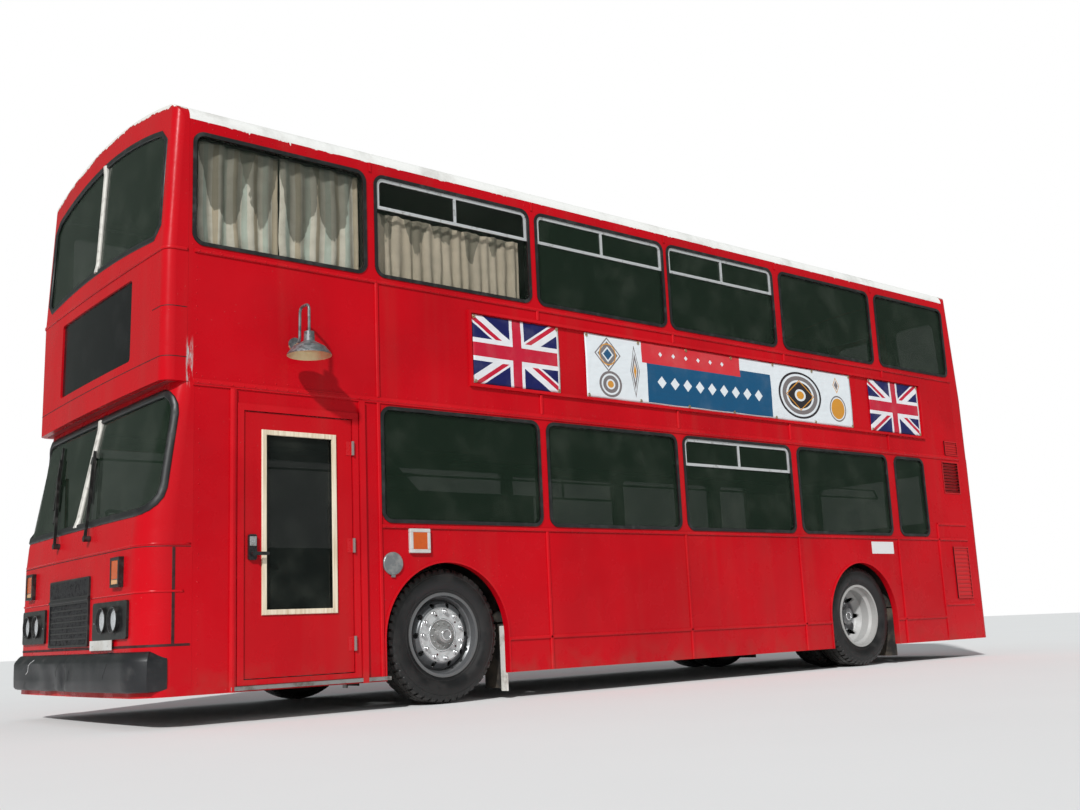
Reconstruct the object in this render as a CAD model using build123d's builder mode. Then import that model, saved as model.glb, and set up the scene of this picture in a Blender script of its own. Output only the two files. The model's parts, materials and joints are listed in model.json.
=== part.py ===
from build123d import *
import os
from collections import namedtuple
from functools import lru_cache

# Double decker bus, made into a place to stay. Millimetres.
# Frame: +X forward, +Y to the nearside where the entrance is, +Z up.
# The origin is on the ground, midway between the front and the tail, on the centreline.

# Driving dimensions of the body
half_width = 1250
wall = 50
skirt_z = 190
skirt_rail_z = 434
sill_z = 1247
deck_z = 2143
upper_sill_z = 3019
cant_z = 3930
roof_edge_z = 4020
roof_crown_z = 4172
roof_skin = 45
cant_radius = 150
front_seam_x = 4350
upper_seam_x = 4400
rear_seam_x = -4502
rear_face_x = -4738
joint_gap = 0.3

# Windows: outer edge of the rubber
lower_window_low_z = 1272
lower_window_high_z = 2107
upper_window_low_z = 3059
upper_window_high_z = 3852
window_radius = 85
rubber_width = 26
rubber_proud = 7
glass_thickness = 6
hopper_depth = 215
hopper_bar = 24

# Running gear
front_axle_x = 2427
rear_axle_x = -2526
tyre_radius = 485
tyre_width = 275
tyre_bead_radius = 288
front_track_half = 1062
twin_gap = 50
rear_outer_half = 1062
kingpin_half = 870
kingpin_radius = 20
axle_z = tyre_radius
arch_half = 531
arch_centre_z = 465

# Floors and frame
floor_z = 600
floor_thickness = 40
rear_floor_z = 760
rear_step_x = -1850
bulkhead_x = -3860
engine_shelf_z = 1400
rail_inner = 390
rail_width = 70
rail_depth = 160
rail_web = 10
tow_eye_x = 4305
tow_eye_radius = 22

# Entrance
door_fore_x = 4006
door_aft_x = 3210
door_low_z = 267
door_high_z = 1980
door_thickness = 45
door_gap = 6
jamb = 52
hinge_radius = 9
frame_proud = 10

# Rear openings
cover_half = 900
cover_low_z = 520
cover_high_z = 1390
exit_half = 420
exit_low_z = 2420
exit_high_z = 3780

os.makedirs("parts", exist_ok=True)
Side = namedtuple("Side", "name sign")
SIDES = [Side("nearside", 1), Side("offside", -1)]

Window = namedtuple("Window", "fore_x length hopper")
UPPER_WINDOWS = [
    Window(4377, 1321, False),
    Window(2992, 1467, True),
    Window(1471, 1486, True),
    Window(-54, 1471, True),
    Window(-1611, 1481, False),
    Window(-3183, 1291, False),
]
LOWER_WINDOWS = [
    Window(2972, 1463, False),
    Window(1445, 1483, False),
    Window(-102, 1481, True),
    Window(-1668, 1470, False),
    Window(-3259, 544, False),
]
DRIVER_WINDOW = Window(4180, 1020, False)


def save(part, label):
    """Label one finished sub-part and write its STEP file."""
    part.label = label
    export_step(part, "parts/" + label + ".step")


def side_plane(y):
    """A plane square to Y at the given y: local x is forward and local y is up."""
    return Plane(origin=(0, y, 0), x_dir=(1, 0, 0), z_dir=(0, -1, 0))


def window_face(window, low_z, high_z, y, inset):
    """Rounded window outline on a side wall, drawn in by inset."""
    with BuildSketch(side_plane(y)) as face:
        with Locations((window.fore_x - window.length / 2, (low_z + high_z) / 2)):
            RectangleRounded(
                window.length - 2 * inset, high_z - low_z - 2 * inset, window_radius - inset
            )
    return face.sketch


def side_box(fore_x, aft_x, low_z, high_z, y):
    """Plain rectangle on a side wall between two x and two z values."""
    with BuildSketch(side_plane(y)) as face:
        with Locations(((fore_x + aft_x) / 2, (low_z + high_z) / 2)):
            Rectangle(fore_x - aft_x, high_z - low_z)
    return face.sketch


def lower_windows(side):
    """The lower deck's windows on one side, the offside one with the driver's window."""
    return LOWER_WINDOWS if side.sign > 0 else LOWER_WINDOWS + [DRIVER_WINDOW]


# Body cross-section and the shells of the two ends
def cross_section(inset):
    """The body's outline across, from the ground to the roof's crown."""
    side = half_width - inset
    cant_low = cant_z
    shoulder = side - 0.7 * cant_radius
    shoulder_z = roof_edge_z + 22 - inset
    with BuildSketch(Plane.YZ) as outline:
        with BuildLine():
            Polyline((-side, cant_low), (-side, 0), (side, 0), (side, cant_low))
            TangentArc((side, cant_low), (shoulder, shoulder_z), tangent=(0, 1))
            ThreePointArc((shoulder, shoulder_z), (0, roof_crown_z - inset), (-shoulder, shoulder_z))
            TangentArc((-side, cant_low), (-shoulder, shoulder_z), tangent=(0, 1))
        make_face()
    return outline.sketch


def plan_face(back_x, face_x, corner, bow, z, inset):
    """Plan of a body end at one height, bowed, and rounded at its two outer corners."""
    way = 1 if face_x > back_x else -1
    side = half_width - inset
    tip = face_x - way * inset
    corner_x = tip - way * bow
    with BuildSketch(Plane.XY.offset(z)) as plan:
        with BuildLine():
            Polyline((corner_x, -side), (back_x, -side), (back_x, side), (corner_x, side))
            ThreePointArc((corner_x, side), (tip, 0), (corner_x, -side))
        make_face()
        outer_corners = plan.vertices().sort_by(Axis((0, 0, 0), (way, 0, 0)))[-2:]
        fillet(outer_corners, max(corner - inset, 12))
    return plan.sketch


# Rows: height, x of the face on the centreline, corner radius, bow of the face
FRONT_LOWER = ((skirt_z, 4688, 190, 26), (1095, 4684, 190, 26), (1262, 4668, 190, 24),
               (deck_z, 4488, 110, 18))
FRONT_UPPER = ((deck_z, 4584, 80, 26), (upper_sill_z, 4572, 70, 22), (roof_crown_z + 20, 4502, 70, 18))
REAR_LOWER = ((skirt_z, rear_face_x, 90, 6), (deck_z, rear_face_x, 90, 6))
REAR_UPPER = ((deck_z, rear_face_x + 6, 90, 6), (2830, rear_face_x + 14, 90, 6),
              (roof_crown_z + 20, -4608, 80, 6))


@lru_cache(maxsize=None)
def end_solid(rows, back_x, inset):
    """Solid of one body end, drawn in by inset on its outer faces. Made once for each set of values."""
    with BuildPart() as end:
        sections = [plan_face(back_x, x, corner, bow, z, inset) for z, x, corner, bow in rows]
        loft(sections=sections, ruled=True)
    return end.part


@lru_cache(maxsize=None)
def envelope(inset, fore_x, aft_x):
    """Everything inside the cross-section between two x values."""
    with BuildPart() as solid:
        extrude(Pos(aft_x, 0, 0) * cross_section(inset), amount=fore_x - aft_x)
    return solid.part


# Side walls with their windows, each as thick as the whole wall
upper_back_x = rear_seam_x + joint_gap
surround_aft_x = 2988
Louvre = namedtuple("Louvre", "fore_x aft_x low_z high_z")
LOUVRE = Louvre(-4160, -4480, 1745, 2100)


def inward(side, depth=wall):
    """Extrusion amount that goes from a side's outer face into the body."""
    return side.sign * depth


with BuildPart() as upper_walls:
    for side in SIDES:
        outer = side.sign * half_width
        extrude(side_box(upper_seam_x - joint_gap, upper_back_x, deck_z, cant_z, outer),
                amount=inward(side))
        for window in UPPER_WINDOWS:
            face = window_face(window, upper_window_low_z, upper_window_high_z, outer, rubber_width)
            extrude(face, amount=inward(side), mode=Mode.SUBTRACT)
save(upper_walls.part, "upper_side_walls")

with BuildPart() as lower_walls:
    for side in SIDES:
        outer = side.sign * half_width
        fore_x = (surround_aft_x if side.sign > 0 else front_seam_x) - joint_gap
        extrude(side_box(fore_x, upper_back_x, sill_z, deck_z - joint_gap, outer), amount=inward(side))
        for window in lower_windows(side):
            face = window_face(window, lower_window_low_z, lower_window_high_z, outer, rubber_width)
            extrude(face, amount=inward(side), mode=Mode.SUBTRACT)
    extrude(side_box(*LOUVRE, half_width), amount=wall, mode=Mode.SUBTRACT)
save(lower_walls.part, "lower_side_walls")


# Rubbers round the side windows and the aluminium frames of those with a top vent
def window_rows(side):
    """Every window on one side as window, low z, high z."""
    rows = [(window, upper_window_low_z, upper_window_high_z) for window in UPPER_WINDOWS]
    return rows + [(window, lower_window_low_z, lower_window_high_z) for window in lower_windows(side)]


glass_in = 12
with BuildPart() as rubbers:
    for side in SIDES:
        for window, low_z, high_z in window_rows(side):
            start = side.sign * (half_width + rubber_proud + joint_gap)
            ring = window_face(window, low_z, high_z, start, 0)
            hole = window_face(window, low_z, high_z, start, rubber_width)
            extrude(ring - hole, amount=inward(side, rubber_proud))
save(rubbers.part, "window_rubbers")

frame_deep = 8.7
with BuildPart() as hoppers:
    for side in SIDES:
        for window, low_z, high_z in window_rows(side):
            if not window.hopper:
                continue
            start = side.sign * (half_width - glass_in + frame_deep + joint_gap)
            rim = rubber_width + 2 * joint_gap
            pane = window_face(window, low_z, high_z, start, rim)
            opening = window_face(window, low_z, high_z, start, rim + hopper_bar)
            split_z = high_z - rim - hopper_depth
            middle_x = window.fore_x - window.length / 2
            half = window.length / 2 - rim
            bars = side_box(middle_x + half, middle_x - half, split_z - hopper_bar, split_z, start)
            bars += side_box(middle_x + hopper_bar / 2, middle_x - hopper_bar / 2, split_z,
                             high_z - rim, start)
            vent = side_box(window.fore_x, window.fore_x - window.length, split_z - hopper_bar, high_z,
                            start)
            extrude(((pane - opening) & vent) + (bars & pane), amount=inward(side, frame_deep))
save(hoppers.part, "hopper_frames")

# Skirt panels below the sill moulding, split where the real panels meet
Panel = namedtuple("Panel", "name fore_x aft_x arch_x")
SKIRTS = [
    Panel("fore_arch", surround_aft_x, 1480, front_axle_x),
    Panel("mid_fore", 1480, -70, None),
    Panel("mid_aft", -70, -1600, None),
    Panel("rear_arch", -1600, -3205, rear_axle_x),
    Panel("tail", -3205, rear_seam_x, None),
]
CAB_SKIRT = Panel("cab", front_seam_x, surround_aft_x, None)


def skirt_faces(side, arched):
    """The skirt panels on one side as faces: those with a wheel arch, or the plain ones."""
    outer = side.sign * half_width
    faces = []
    for panel in SKIRTS if side.sign > 0 else SKIRTS + [CAB_SKIRT]:
        if (panel.arch_x is not None) != arched:
            continue
        face = side_box(panel.fore_x - joint_gap, panel.aft_x + joint_gap, skirt_z, sill_z - joint_gap,
                        outer)
        if arched:
            with BuildSketch(side_plane(outer)) as arch:
                with Locations((panel.arch_x, arch_centre_z)):
                    Circle(arch_half)
                with Locations((panel.arch_x, arch_centre_z - arch_half / 2)):
                    Rectangle(2 * arch_half, arch_half)
            face -= arch.sketch
        faces.append(face)
    return faces


with BuildPart() as skirts:
    for side in SIDES:
        for face in skirt_faces(side, False):
            extrude(face, amount=inward(side))
save(skirts.part, "skirt_panels")

with BuildPart() as arch_panels:
    for side in SIDES:
        for face in skirt_faces(side, True):
            extrude(face, amount=inward(side))
save(arch_panels.part, "arch_panels")

# Panels round the entrance and the frame in them, then the door
opening_fore_x = door_fore_x + jamb
opening_aft_x = door_aft_x - jamb
opening_low_z = door_low_z - 40
opening_high_z = door_high_z + jamb
with BuildPart() as door_surround:
    fore_edge = front_seam_x - joint_gap
    for fore_x, aft_x, low_z, high_z in [
        (fore_edge, opening_fore_x, skirt_z, deck_z - joint_gap),
        (opening_aft_x, surround_aft_x, skirt_z, deck_z - joint_gap),
        (opening_fore_x - joint_gap, opening_aft_x + joint_gap, opening_high_z, deck_z - joint_gap),
        (opening_fore_x - joint_gap, opening_aft_x + joint_gap, skirt_z, opening_low_z),
    ]:
        extrude(side_box(fore_x, aft_x, low_z, high_z, half_width), amount=wall)
save(door_surround.part, "door_surround")

with BuildPart() as door_frame:
    face_y = half_width + frame_proud
    outline = side_box(
        opening_fore_x - joint_gap, opening_aft_x + joint_gap, opening_low_z + joint_gap,
        opening_high_z - joint_gap,
        face_y,
    )
    hole = side_box(
        door_fore_x + door_gap, door_aft_x - door_gap, door_low_z - door_gap, door_high_z + door_gap, face_y
    )
    extrude(outline - hole, amount=wall + frame_proud)
save(door_frame.part, "door_frame")

pane_fore_x = 3880
pane_aft_x = 3340
pane_low_z = 665
pane_high_z = 1860
bead = 34
bead_proud = 12
bead_reach = 6
with BuildPart() as entrance_door:
    leaf = side_box(door_fore_x, door_aft_x, door_low_z, door_high_z, half_width)
    extrude(leaf - side_box(pane_fore_x, pane_aft_x, pane_low_z, pane_high_z, half_width),
            amount=door_thickness)
save(entrance_door.part, "entrance_door")

with BuildPart() as door_glass:
    pane = side_box(
        pane_fore_x - joint_gap, pane_aft_x + joint_gap, pane_low_z + joint_gap, pane_high_z - joint_gap,
        half_width - 18,
    )
    extrude(pane, amount=glass_thickness)
save(door_glass.part, "door_glass")

with BuildPart() as glass_bead:
    face_y = half_width + bead_proud + joint_gap
    near = bead_reach
    far = bead_reach - bead
    ring = side_box(pane_fore_x + near, pane_aft_x - near, pane_low_z - near, pane_high_z + near, face_y)
    hole = side_box(pane_fore_x + far, pane_aft_x - far, pane_low_z - far, pane_high_z + far, face_y)
    extrude(ring - hole, amount=bead_proud)
    chamfer(glass_bead.edges().group_by(Axis.Y)[-1], 3)
save(glass_bead.part, "door_glass_bead")

# Lock with its lever, and the hinges on the door's aft edge
lock_x = 3955
lock_low_z = 1010
lock_high_z = 1175
hinge_y = half_width + frame_proud + hinge_radius + joint_gap
hinge_x = door_aft_x - door_gap / 2
HINGE_Z = [455, 1110, 1780]
hinge_height = 97
with BuildPart() as door_hardware:
    extrude(side_box(lock_x + 28, lock_x - 28, lock_low_z, lock_high_z, half_width + 22 + joint_gap),
            amount=22)
    fillet(door_hardware.edges().filter_by(Axis.Y), 12)
    outward = Plane(origin=(lock_x, half_width + 22, lock_low_z + 40), x_dir=(-1, 0, 0), z_dir=(0, 1, 0))
    with BuildSketch(outward) as rose:
        Circle(19)
    extrude(rose.sketch, amount=34)
    with BuildSketch(outward.offset(22)) as lever:
        with Locations((45, 0)):
            RectangleRounded(110, 22, 9)
    extrude(lever.sketch, amount=14)
    for z in HINGE_Z:
        with Locations((hinge_x, hinge_y, z)):
            Cylinder(hinge_radius, hinge_height)
        extrude(side_box(hinge_x + 46, hinge_x + 6, z - hinge_height / 2, z + hinge_height / 2,
                         half_width + 3 + joint_gap), amount=3)
        with Locations((hinge_x + 7.5, (half_width + joint_gap + hinge_y) / 2, z)):
            Box(3, hinge_y - half_width - joint_gap, hinge_height)
save(door_hardware.part, "door_hardware")

# Roof shell over the side walls
with BuildPart() as roof:
    outside = envelope(0, upper_seam_x - joint_gap, upper_back_x)
    add(outside - envelope(roof_skin, upper_seam_x, rear_seam_x))
    with Locations(((upper_seam_x + upper_back_x) / 2, 0, 0)):
        Box(12000, 4 * half_width, 2 * (cant_z + joint_gap), mode=Mode.SUBTRACT)
save(roof.part, "roof")

# Upper front: shell under the roof's arch, with the windscreen and the screen box cut in
front_glass_bottom = 3150
front_glass_corner = 3095
front_glass_half = 1150
front_glass_side_top = 3862
front_glass_crown = 4010
divider = 56
screen_half = 713
screen_low_z = 2362
screen_high_z = 2927
screen_depth = 40


def upper_glass_face(inset):
    """Outline of the upper windscreen seen from the front, with its arched top."""
    half = front_glass_half - inset
    with BuildSketch(Plane.YZ.offset(upper_seam_x)) as face:
        with BuildLine():
            low = ThreePointArc(
                (-half, front_glass_corner + inset), (0, front_glass_bottom + inset),
                (half, front_glass_corner + inset)
            )
            up = Line(low @ 1, (half, front_glass_side_top - inset))
            top = ThreePointArc(up @ 1, (0, front_glass_crown - inset),
                                (-half, front_glass_side_top - inset))
            Line(top @ 1, low @ 0)
        make_face()
        fillet(face.vertices(), 95 - inset)
    return face.sketch


def lower_glass_face(inset):
    """Outline of the lower windscreen seen from the front."""
    with BuildSketch(Plane.YZ.offset(front_seam_x)) as face:
        with Locations((0, (windscreen_low_z + windscreen_high_z) / 2)):
            RectangleRounded(
                2 * (windscreen_half - inset), windscreen_high_z - windscreen_low_z - 2 * inset,
                windscreen_radius - inset,
            )
    return face.sketch


LAMP_Y = [672, 876]
lamp_z = 668
lamp_radius = 82
windscreen_low_z = 1298
windscreen_high_z = 2100
windscreen_half = 1241
windscreen_radius = 130
front_wall = 45


def front_shell(rows, back_x, low_z, high_z, outer_inset, inner_inset):
    """Shell of a front end between two insets and two heights."""
    with BuildPart() as shell:
        add(end_solid(rows, back_x, outer_inset))
        add(end_solid(rows, back_x - 10, inner_inset), mode=Mode.SUBTRACT)
        with Locations((back_x, 0, (low_z + high_z) / 2)):
            Box(1600, 4 * half_width, high_z - low_z, mode=Mode.INTERSECT)
    return shell.part


with BuildPart() as front_upper:
    add(end_solid(FRONT_UPPER, upper_seam_x + joint_gap, 0) & envelope(0, 5000, 4000))
    add(end_solid(FRONT_UPPER, upper_seam_x - 20, front_wall) & envelope(roof_skin, 5000, 4000),
        mode=Mode.SUBTRACT)
    extrude(upper_glass_face(rubber_width), amount=400, mode=Mode.SUBTRACT)
    with BuildSketch(Plane.YZ.offset(upper_seam_x)) as screen_hole:
        with Locations((0, (screen_low_z + screen_high_z) / 2)):
            RectangleRounded(2 * screen_half, screen_high_z - screen_low_z, 30)
    extrude(screen_hole.sketch, amount=400, mode=Mode.SUBTRACT)
save(front_upper.part, "front_upper")

with BuildPart() as front_lower:
    low = deck_z - joint_gap
    add(front_shell(FRONT_LOWER, front_seam_x + joint_gap, skirt_z, low, 0, front_wall))
    extrude(lower_glass_face(rubber_width), amount=500, mode=Mode.SUBTRACT)
    for side in SIDES:
        for y in LAMP_Y:
            with BuildSketch(Plane.YZ.offset(front_seam_x + 100)) as lamp_hole:
                with Locations((side.sign * y, lamp_z)):
                    Circle(lamp_radius + joint_gap)
            extrude(lamp_hole.sketch, amount=400, mode=Mode.SUBTRACT)
save(front_lower.part, "front_lower")

pane_seat = 10
pane_seat = 10


def screen_panes(rows, seam_x, outline, middle_z):
    """Two bowed panes of one windscreen, either side of the centre divider."""
    with BuildPart() as panes:
        add(end_solid(rows, seam_x + 2, pane_seat))
        add(end_solid(rows, seam_x - 8, pane_seat + glass_thickness), mode=Mode.SUBTRACT)
        extrude(outline, amount=500, mode=Mode.INTERSECT)
        with Locations((seam_x, 0, middle_z)):
            Box(1200, divider + 2 * joint_gap, 1600, mode=Mode.SUBTRACT)
    return panes.part


# Front fittings: screen box, grille, lamps, bumper and wipers
with BuildPart() as screen_box:
    skin = end_solid(FRONT_UPPER, upper_seam_x, screen_depth - 25)
    skin -= end_solid(FRONT_UPPER, upper_seam_x - 10, screen_depth)
    add(skin)
    with BuildSketch(Plane.YZ.offset(upper_seam_x - 60)) as screen_face:
        with Locations((0, (screen_low_z + screen_high_z) / 2)):
            RectangleRounded(2 * (screen_half - joint_gap),
                             screen_high_z - screen_low_z - 2 * joint_gap, 30)
    extrude(screen_face.sketch, amount=400, mode=Mode.INTERSECT)
save(screen_box.part, "destination_screen")

grille_half = 400
GRILLES = [(830, 966, 3), (512, 812, 7)]
grille_stand = 14
slat = 12


def on_front(y, z, width, height, radius, back, stand):
    """Solid block on the lower front panel, its face standing out by stand."""
    with BuildPart() as block:
        add(end_solid(FRONT_LOWER, front_seam_x, -stand))
        add(end_solid(FRONT_LOWER, front_seam_x - 10, back), mode=Mode.SUBTRACT)
        with BuildSketch(Plane.YZ.offset(front_seam_x - 50)) as outline:
            with Locations((y, z)):
                if radius > 0:
                    RectangleRounded(width, height, radius)
                else:
                    Rectangle(width, height)
        extrude(outline.sketch, amount=600, mode=Mode.INTERSECT)
    return block.part


with BuildPart() as grille:
    for low_z, high_z, slats in GRILLES:
        middle = (low_z + high_z) / 2
        frame = on_front(0, middle, 2 * grille_half, high_z - low_z, 12, -joint_gap, grille_stand)
        frame -= on_front(0, middle, 2 * grille_half - 36, high_z - low_z - 30, 8, -1, 40)
        add(frame)
        pitch = (high_z - low_z - 30) / slats
        for row in range(1, slats):
            add(on_front(0, low_z + 15 + row * pitch, 2 * grille_half - 30, slat, 0, -joint_gap,
                         grille_stand - 5))
save(grille.part, "front_grille")

lamp_y = 773
with BuildPart() as lamps:
    for side in SIDES:
        add(on_front(side.sign * lamp_y, 664, 560, 236, 20, -joint_gap, 16))
    for side in SIDES:
        for y in LAMP_Y:
            with BuildSketch(Plane.YZ.offset(4640)) as lamp:
                with Locations((side.sign * y, lamp_z)):
                    Circle(lamp_radius)
            extrude(lamp.sketch, amount=72)
            with BuildSketch(Plane.YZ.offset(4640)) as hollow:
                with Locations((side.sign * y, lamp_z)):
                    Circle(lamp_radius - 7)
            extrude(hollow.sketch, amount=80, mode=Mode.SUBTRACT)
save(lamps.part, "headlamp_units")

with BuildPart() as lenses:
    for side in SIDES:
        for y in LAMP_Y:
            with Locations(Location((4676, side.sign * y, lamp_z), (0, 90, 0))):
                Cylinder(lamp_radius - 7 - joint_gap, 14, align=(Align.CENTER, Align.CENTER, Align.MIN))
save(lenses.part, "headlamp_lenses")


bumper_low_z = 222
bumper_high_z = 466
bumper_stand = 62
bumper_fore_x = 4350 + 150
BUMPER = ((bumper_low_z, 4662, 190, 30), (bumper_low_z + 40, 4688, 190, 30), (bumper_high_z, 4688, 190, 30))
with BuildPart() as bumper:
    add(end_solid(BUMPER, front_seam_x, -bumper_stand))
    add(end_solid(FRONT_LOWER, front_seam_x - 10, -joint_gap), mode=Mode.SUBTRACT)
    with Locations((bumper_fore_x - 500, 0, 300)):
        Box(1000, 4 * half_width, 800, mode=Mode.SUBTRACT)
    with Locations((bumper_fore_x + 500, 0, 300)):
        Box(1000, 2 * half_width + 20, 800, mode=Mode.INTERSECT)
save(bumper.part, "front_bumper")

# Wipers: spindle, arm and blade on each windscreen half
WIPERS = [(330, 60, 640), (-300, -690, 600)]
with BuildPart() as wipers:
    for spindle_y, tip_y, rise in WIPERS:
        foot = (4668, spindle_y, 1215)
        tip = (4668 + 30 - rise * 0.213, tip_y, 1215 + rise)
        with Locations(Location((4672.9, spindle_y, 1215), (0, 90, 0))):
            Cylinder(20, 45, align=(Align.CENTER, Align.CENTER, Align.MIN))
        along = (Vector(*tip) - Vector(foot[0] + 38, foot[1], foot[2])).normalized()
        arm_plane = Plane(origin=(foot[0] + 38, foot[1], foot[2]), z_dir=along)
        with BuildSketch(arm_plane) as arm:
            Rectangle(14, 20)
        extrude(arm.sketch, amount=rise * 1.1)
save(wipers.part, "windscreen_wipers")

# Rear end
def face_at(rows, z):
    """The x of a ruled end face on the centreline at one height."""
    for low, high in zip(rows, rows[1:]):
        if low[0] <= z <= high[0]:
            return low[1] + (high[1] - low[1]) * (z - low[0]) / (high[0] - low[0])


def top_hinge_axis(rows, top_z):
    """Where a rear lid's hinge line runs: x and z, just clear of the body above the lid."""
    axis_z = top_z + lid_knuckle
    return face_at(rows, axis_z) - lid_knuckle - 2 * joint_gap, axis_z


def top_hinges(rows, top_z, spots):
    """Knuckles along Y above the top edge of a rear lid, each with its strap down to the lid."""
    axis_x, axis_z = top_hinge_axis(rows, top_z)
    with BuildPart() as hinges:
        for y in spots:
            with Locations(Location((axis_x, y, axis_z), (90, 0, 0))):
                Cylinder(lid_knuckle, lid_strap_width)
            with Locations((axis_x + 1, y, axis_z - lid_strap / 2)):
                Box(8, lid_strap_width, lid_strap)
    return hinges.part


lid_knuckle = 8
lid_strap = 75
lid_strap_width = 90
rear_window_z = 1760
rear_window_width = 1640
rear_window_height = 560
rear_upper_width = 520
rear_upper_height = 640
REAR_UPPER_WINDOWS = [(790, 3440), (-790, 3440)]
with BuildPart() as rear_lower:
    add(end_solid(REAR_LOWER, rear_seam_x - joint_gap, 0))
    add(end_solid(REAR_LOWER, rear_seam_x + 10, wall), mode=Mode.SUBTRACT)
    with Locations((rear_face_x, 0, (cover_low_z + cover_high_z) / 2)):
        Box(200, 2 * cover_half, cover_high_z - cover_low_z, mode=Mode.SUBTRACT)
    with BuildSketch(Plane.YZ.offset(rear_face_x - 60)) as rear_window:
        with Locations((0, rear_window_z)):
            RectangleRounded(rear_window_width, rear_window_height, window_radius)
    extrude(rear_window.sketch, amount=160, mode=Mode.SUBTRACT)
    with Locations((0, 0, deck_z)):
        Box(12000, 4 * half_width, 2 * joint_gap, mode=Mode.SUBTRACT)
save(rear_lower.part, "rear_lower")

with BuildPart() as rear_upper:
    add(end_solid(REAR_UPPER, rear_seam_x - joint_gap, 0) & envelope(0, -4000, -5000))
    add(end_solid(REAR_UPPER, rear_seam_x + 10, wall) & envelope(roof_skin, -4000, -5000),
        mode=Mode.SUBTRACT)
    with Locations((rear_face_x, 0, (exit_low_z + exit_high_z) / 2)):
        Box(400, 2 * exit_half, exit_high_z - exit_low_z, mode=Mode.SUBTRACT)
    with BuildSketch(Plane.YZ.offset(rear_face_x - 60)) as rear_window:
        with Locations(*REAR_UPPER_WINDOWS):
            RectangleRounded(rear_upper_width, rear_upper_height, window_radius)
    extrude(rear_window.sketch, amount=260, mode=Mode.SUBTRACT)
save(rear_upper.part, "rear_upper")

door_clear = 6
exit_window = (600, 560)
with BuildPart() as rear_exit:
    add(end_solid(REAR_UPPER, rear_seam_x, 0))
    add(end_solid(REAR_UPPER, rear_seam_x + 10, 40), mode=Mode.SUBTRACT)
    with BuildSketch(Plane.YZ.offset(rear_face_x - 60)) as leaf:
        with Locations((0, (exit_low_z + exit_high_z) / 2)):
            Rectangle(2 * (exit_half - door_clear), exit_high_z - exit_low_z - 2 * door_clear)
    extrude(leaf.sketch, amount=260, mode=Mode.INTERSECT)
    with BuildSketch(Plane.YZ.offset(rear_face_x - 60)) as leaf_window:
        with Locations((0, 3440)):
            RectangleRounded(*exit_window, window_radius)
    extrude(leaf_window.sketch, amount=260, mode=Mode.SUBTRACT)
    add(top_hinges(REAR_UPPER, exit_high_z, (-300, 300)))
save(rear_exit.part, "rear_exit_door")

with BuildPart() as engine_cover:
    with Locations((rear_face_x - 8, 0, (cover_low_z + cover_high_z) / 2)):
        Box(28, 2 * (cover_half - door_clear), cover_high_z - cover_low_z - 2 * door_clear,
            align=(Align.MIN, Align.CENTER, Align.CENTER))
    for row in range(6):
        with Locations((rear_face_x - 8, 0, 700 + 50 * row)):
            Box(60, 1100, 16, mode=Mode.SUBTRACT)
    add(top_hinges(REAR_LOWER, cover_high_z, (-700, 0, 700)))
save(engine_cover.part, "engine_cover")


def rear_panes(rows, centres, width, height):
    """Panes that follow the rear face, one at each y, z centre."""
    with BuildPart() as panes:
        add(end_solid(rows, rear_seam_x + 1, pane_seat))
        add(end_solid(rows, rear_seam_x + 10, pane_seat + glass_thickness), mode=Mode.SUBTRACT)
        with BuildSketch(Plane.YZ.offset(rear_face_x - 60)) as outline:
            with Locations(*centres):
                RectangleRounded(width - 2 * joint_gap, height - 2 * joint_gap, window_radius - joint_gap)
        extrude(outline.sketch, amount=260, mode=Mode.INTERSECT)
    return panes.part


with BuildPart() as window_glass:
    for side in SIDES:
        for window, low_z, high_z in window_rows(side):
            outer = side.sign * (half_width - glass_in)
            face = window_face(window, low_z, high_z, outer, rubber_width + joint_gap)
            extrude(face, amount=inward(side, glass_thickness))
    add(screen_panes(FRONT_UPPER, upper_seam_x, upper_glass_face(rubber_width + joint_gap), 3600))
    add(screen_panes(FRONT_LOWER, front_seam_x, lower_glass_face(rubber_width + joint_gap), 1700))
    add(rear_panes(REAR_LOWER, [(0, rear_window_z)], rear_window_width, rear_window_height))
    add(rear_panes(REAR_UPPER, REAR_UPPER_WINDOWS, rear_upper_width, rear_upper_height))
save(window_glass.part, "window_glass")

with BuildPart() as exit_glass:
    add(rear_panes(REAR_UPPER, [(0, 3440)], *exit_window))
save(exit_glass.part, "rear_exit_glass")

# Floors, wheel boxes, bulkhead and stairs
floor_half = half_width - wall - joint_gap
entrance_fore_x = 4120
entrance_aft_x = 3100
entrance_inner_y = 480
box_half_front = 612
box_half_rear = 545
box_high_z = 1035
box_sheet = 12
box_low_z = floor_z - floor_thickness
box_inner_front = 572
box_inner_rear = 560
WheelBox = namedtuple("WheelBox", "x half inner")
WHEEL_BOXES = [
    WheelBox(front_axle_x, box_half_front, box_inner_front),
    WheelBox(rear_axle_x, box_half_rear, box_inner_rear),
]


def wheel_box_face(box, grow):
    """Outline of a wheel box seen from the side, grown by grow."""
    half = box.half + grow
    with BuildSketch(side_plane(half_width - wall - joint_gap)) as face:
        with BuildLine():
            Polyline(
                (box.x - half, box_low_z), (box.x - half, 760 + grow),
                (box.x - half + 190, box_high_z + grow),
                (box.x + half - 190, box_high_z + grow), (box.x + half, 760 + grow),
                (box.x + half, box_low_z),
                close=True,
            )
        make_face()
    return face.sketch


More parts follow.
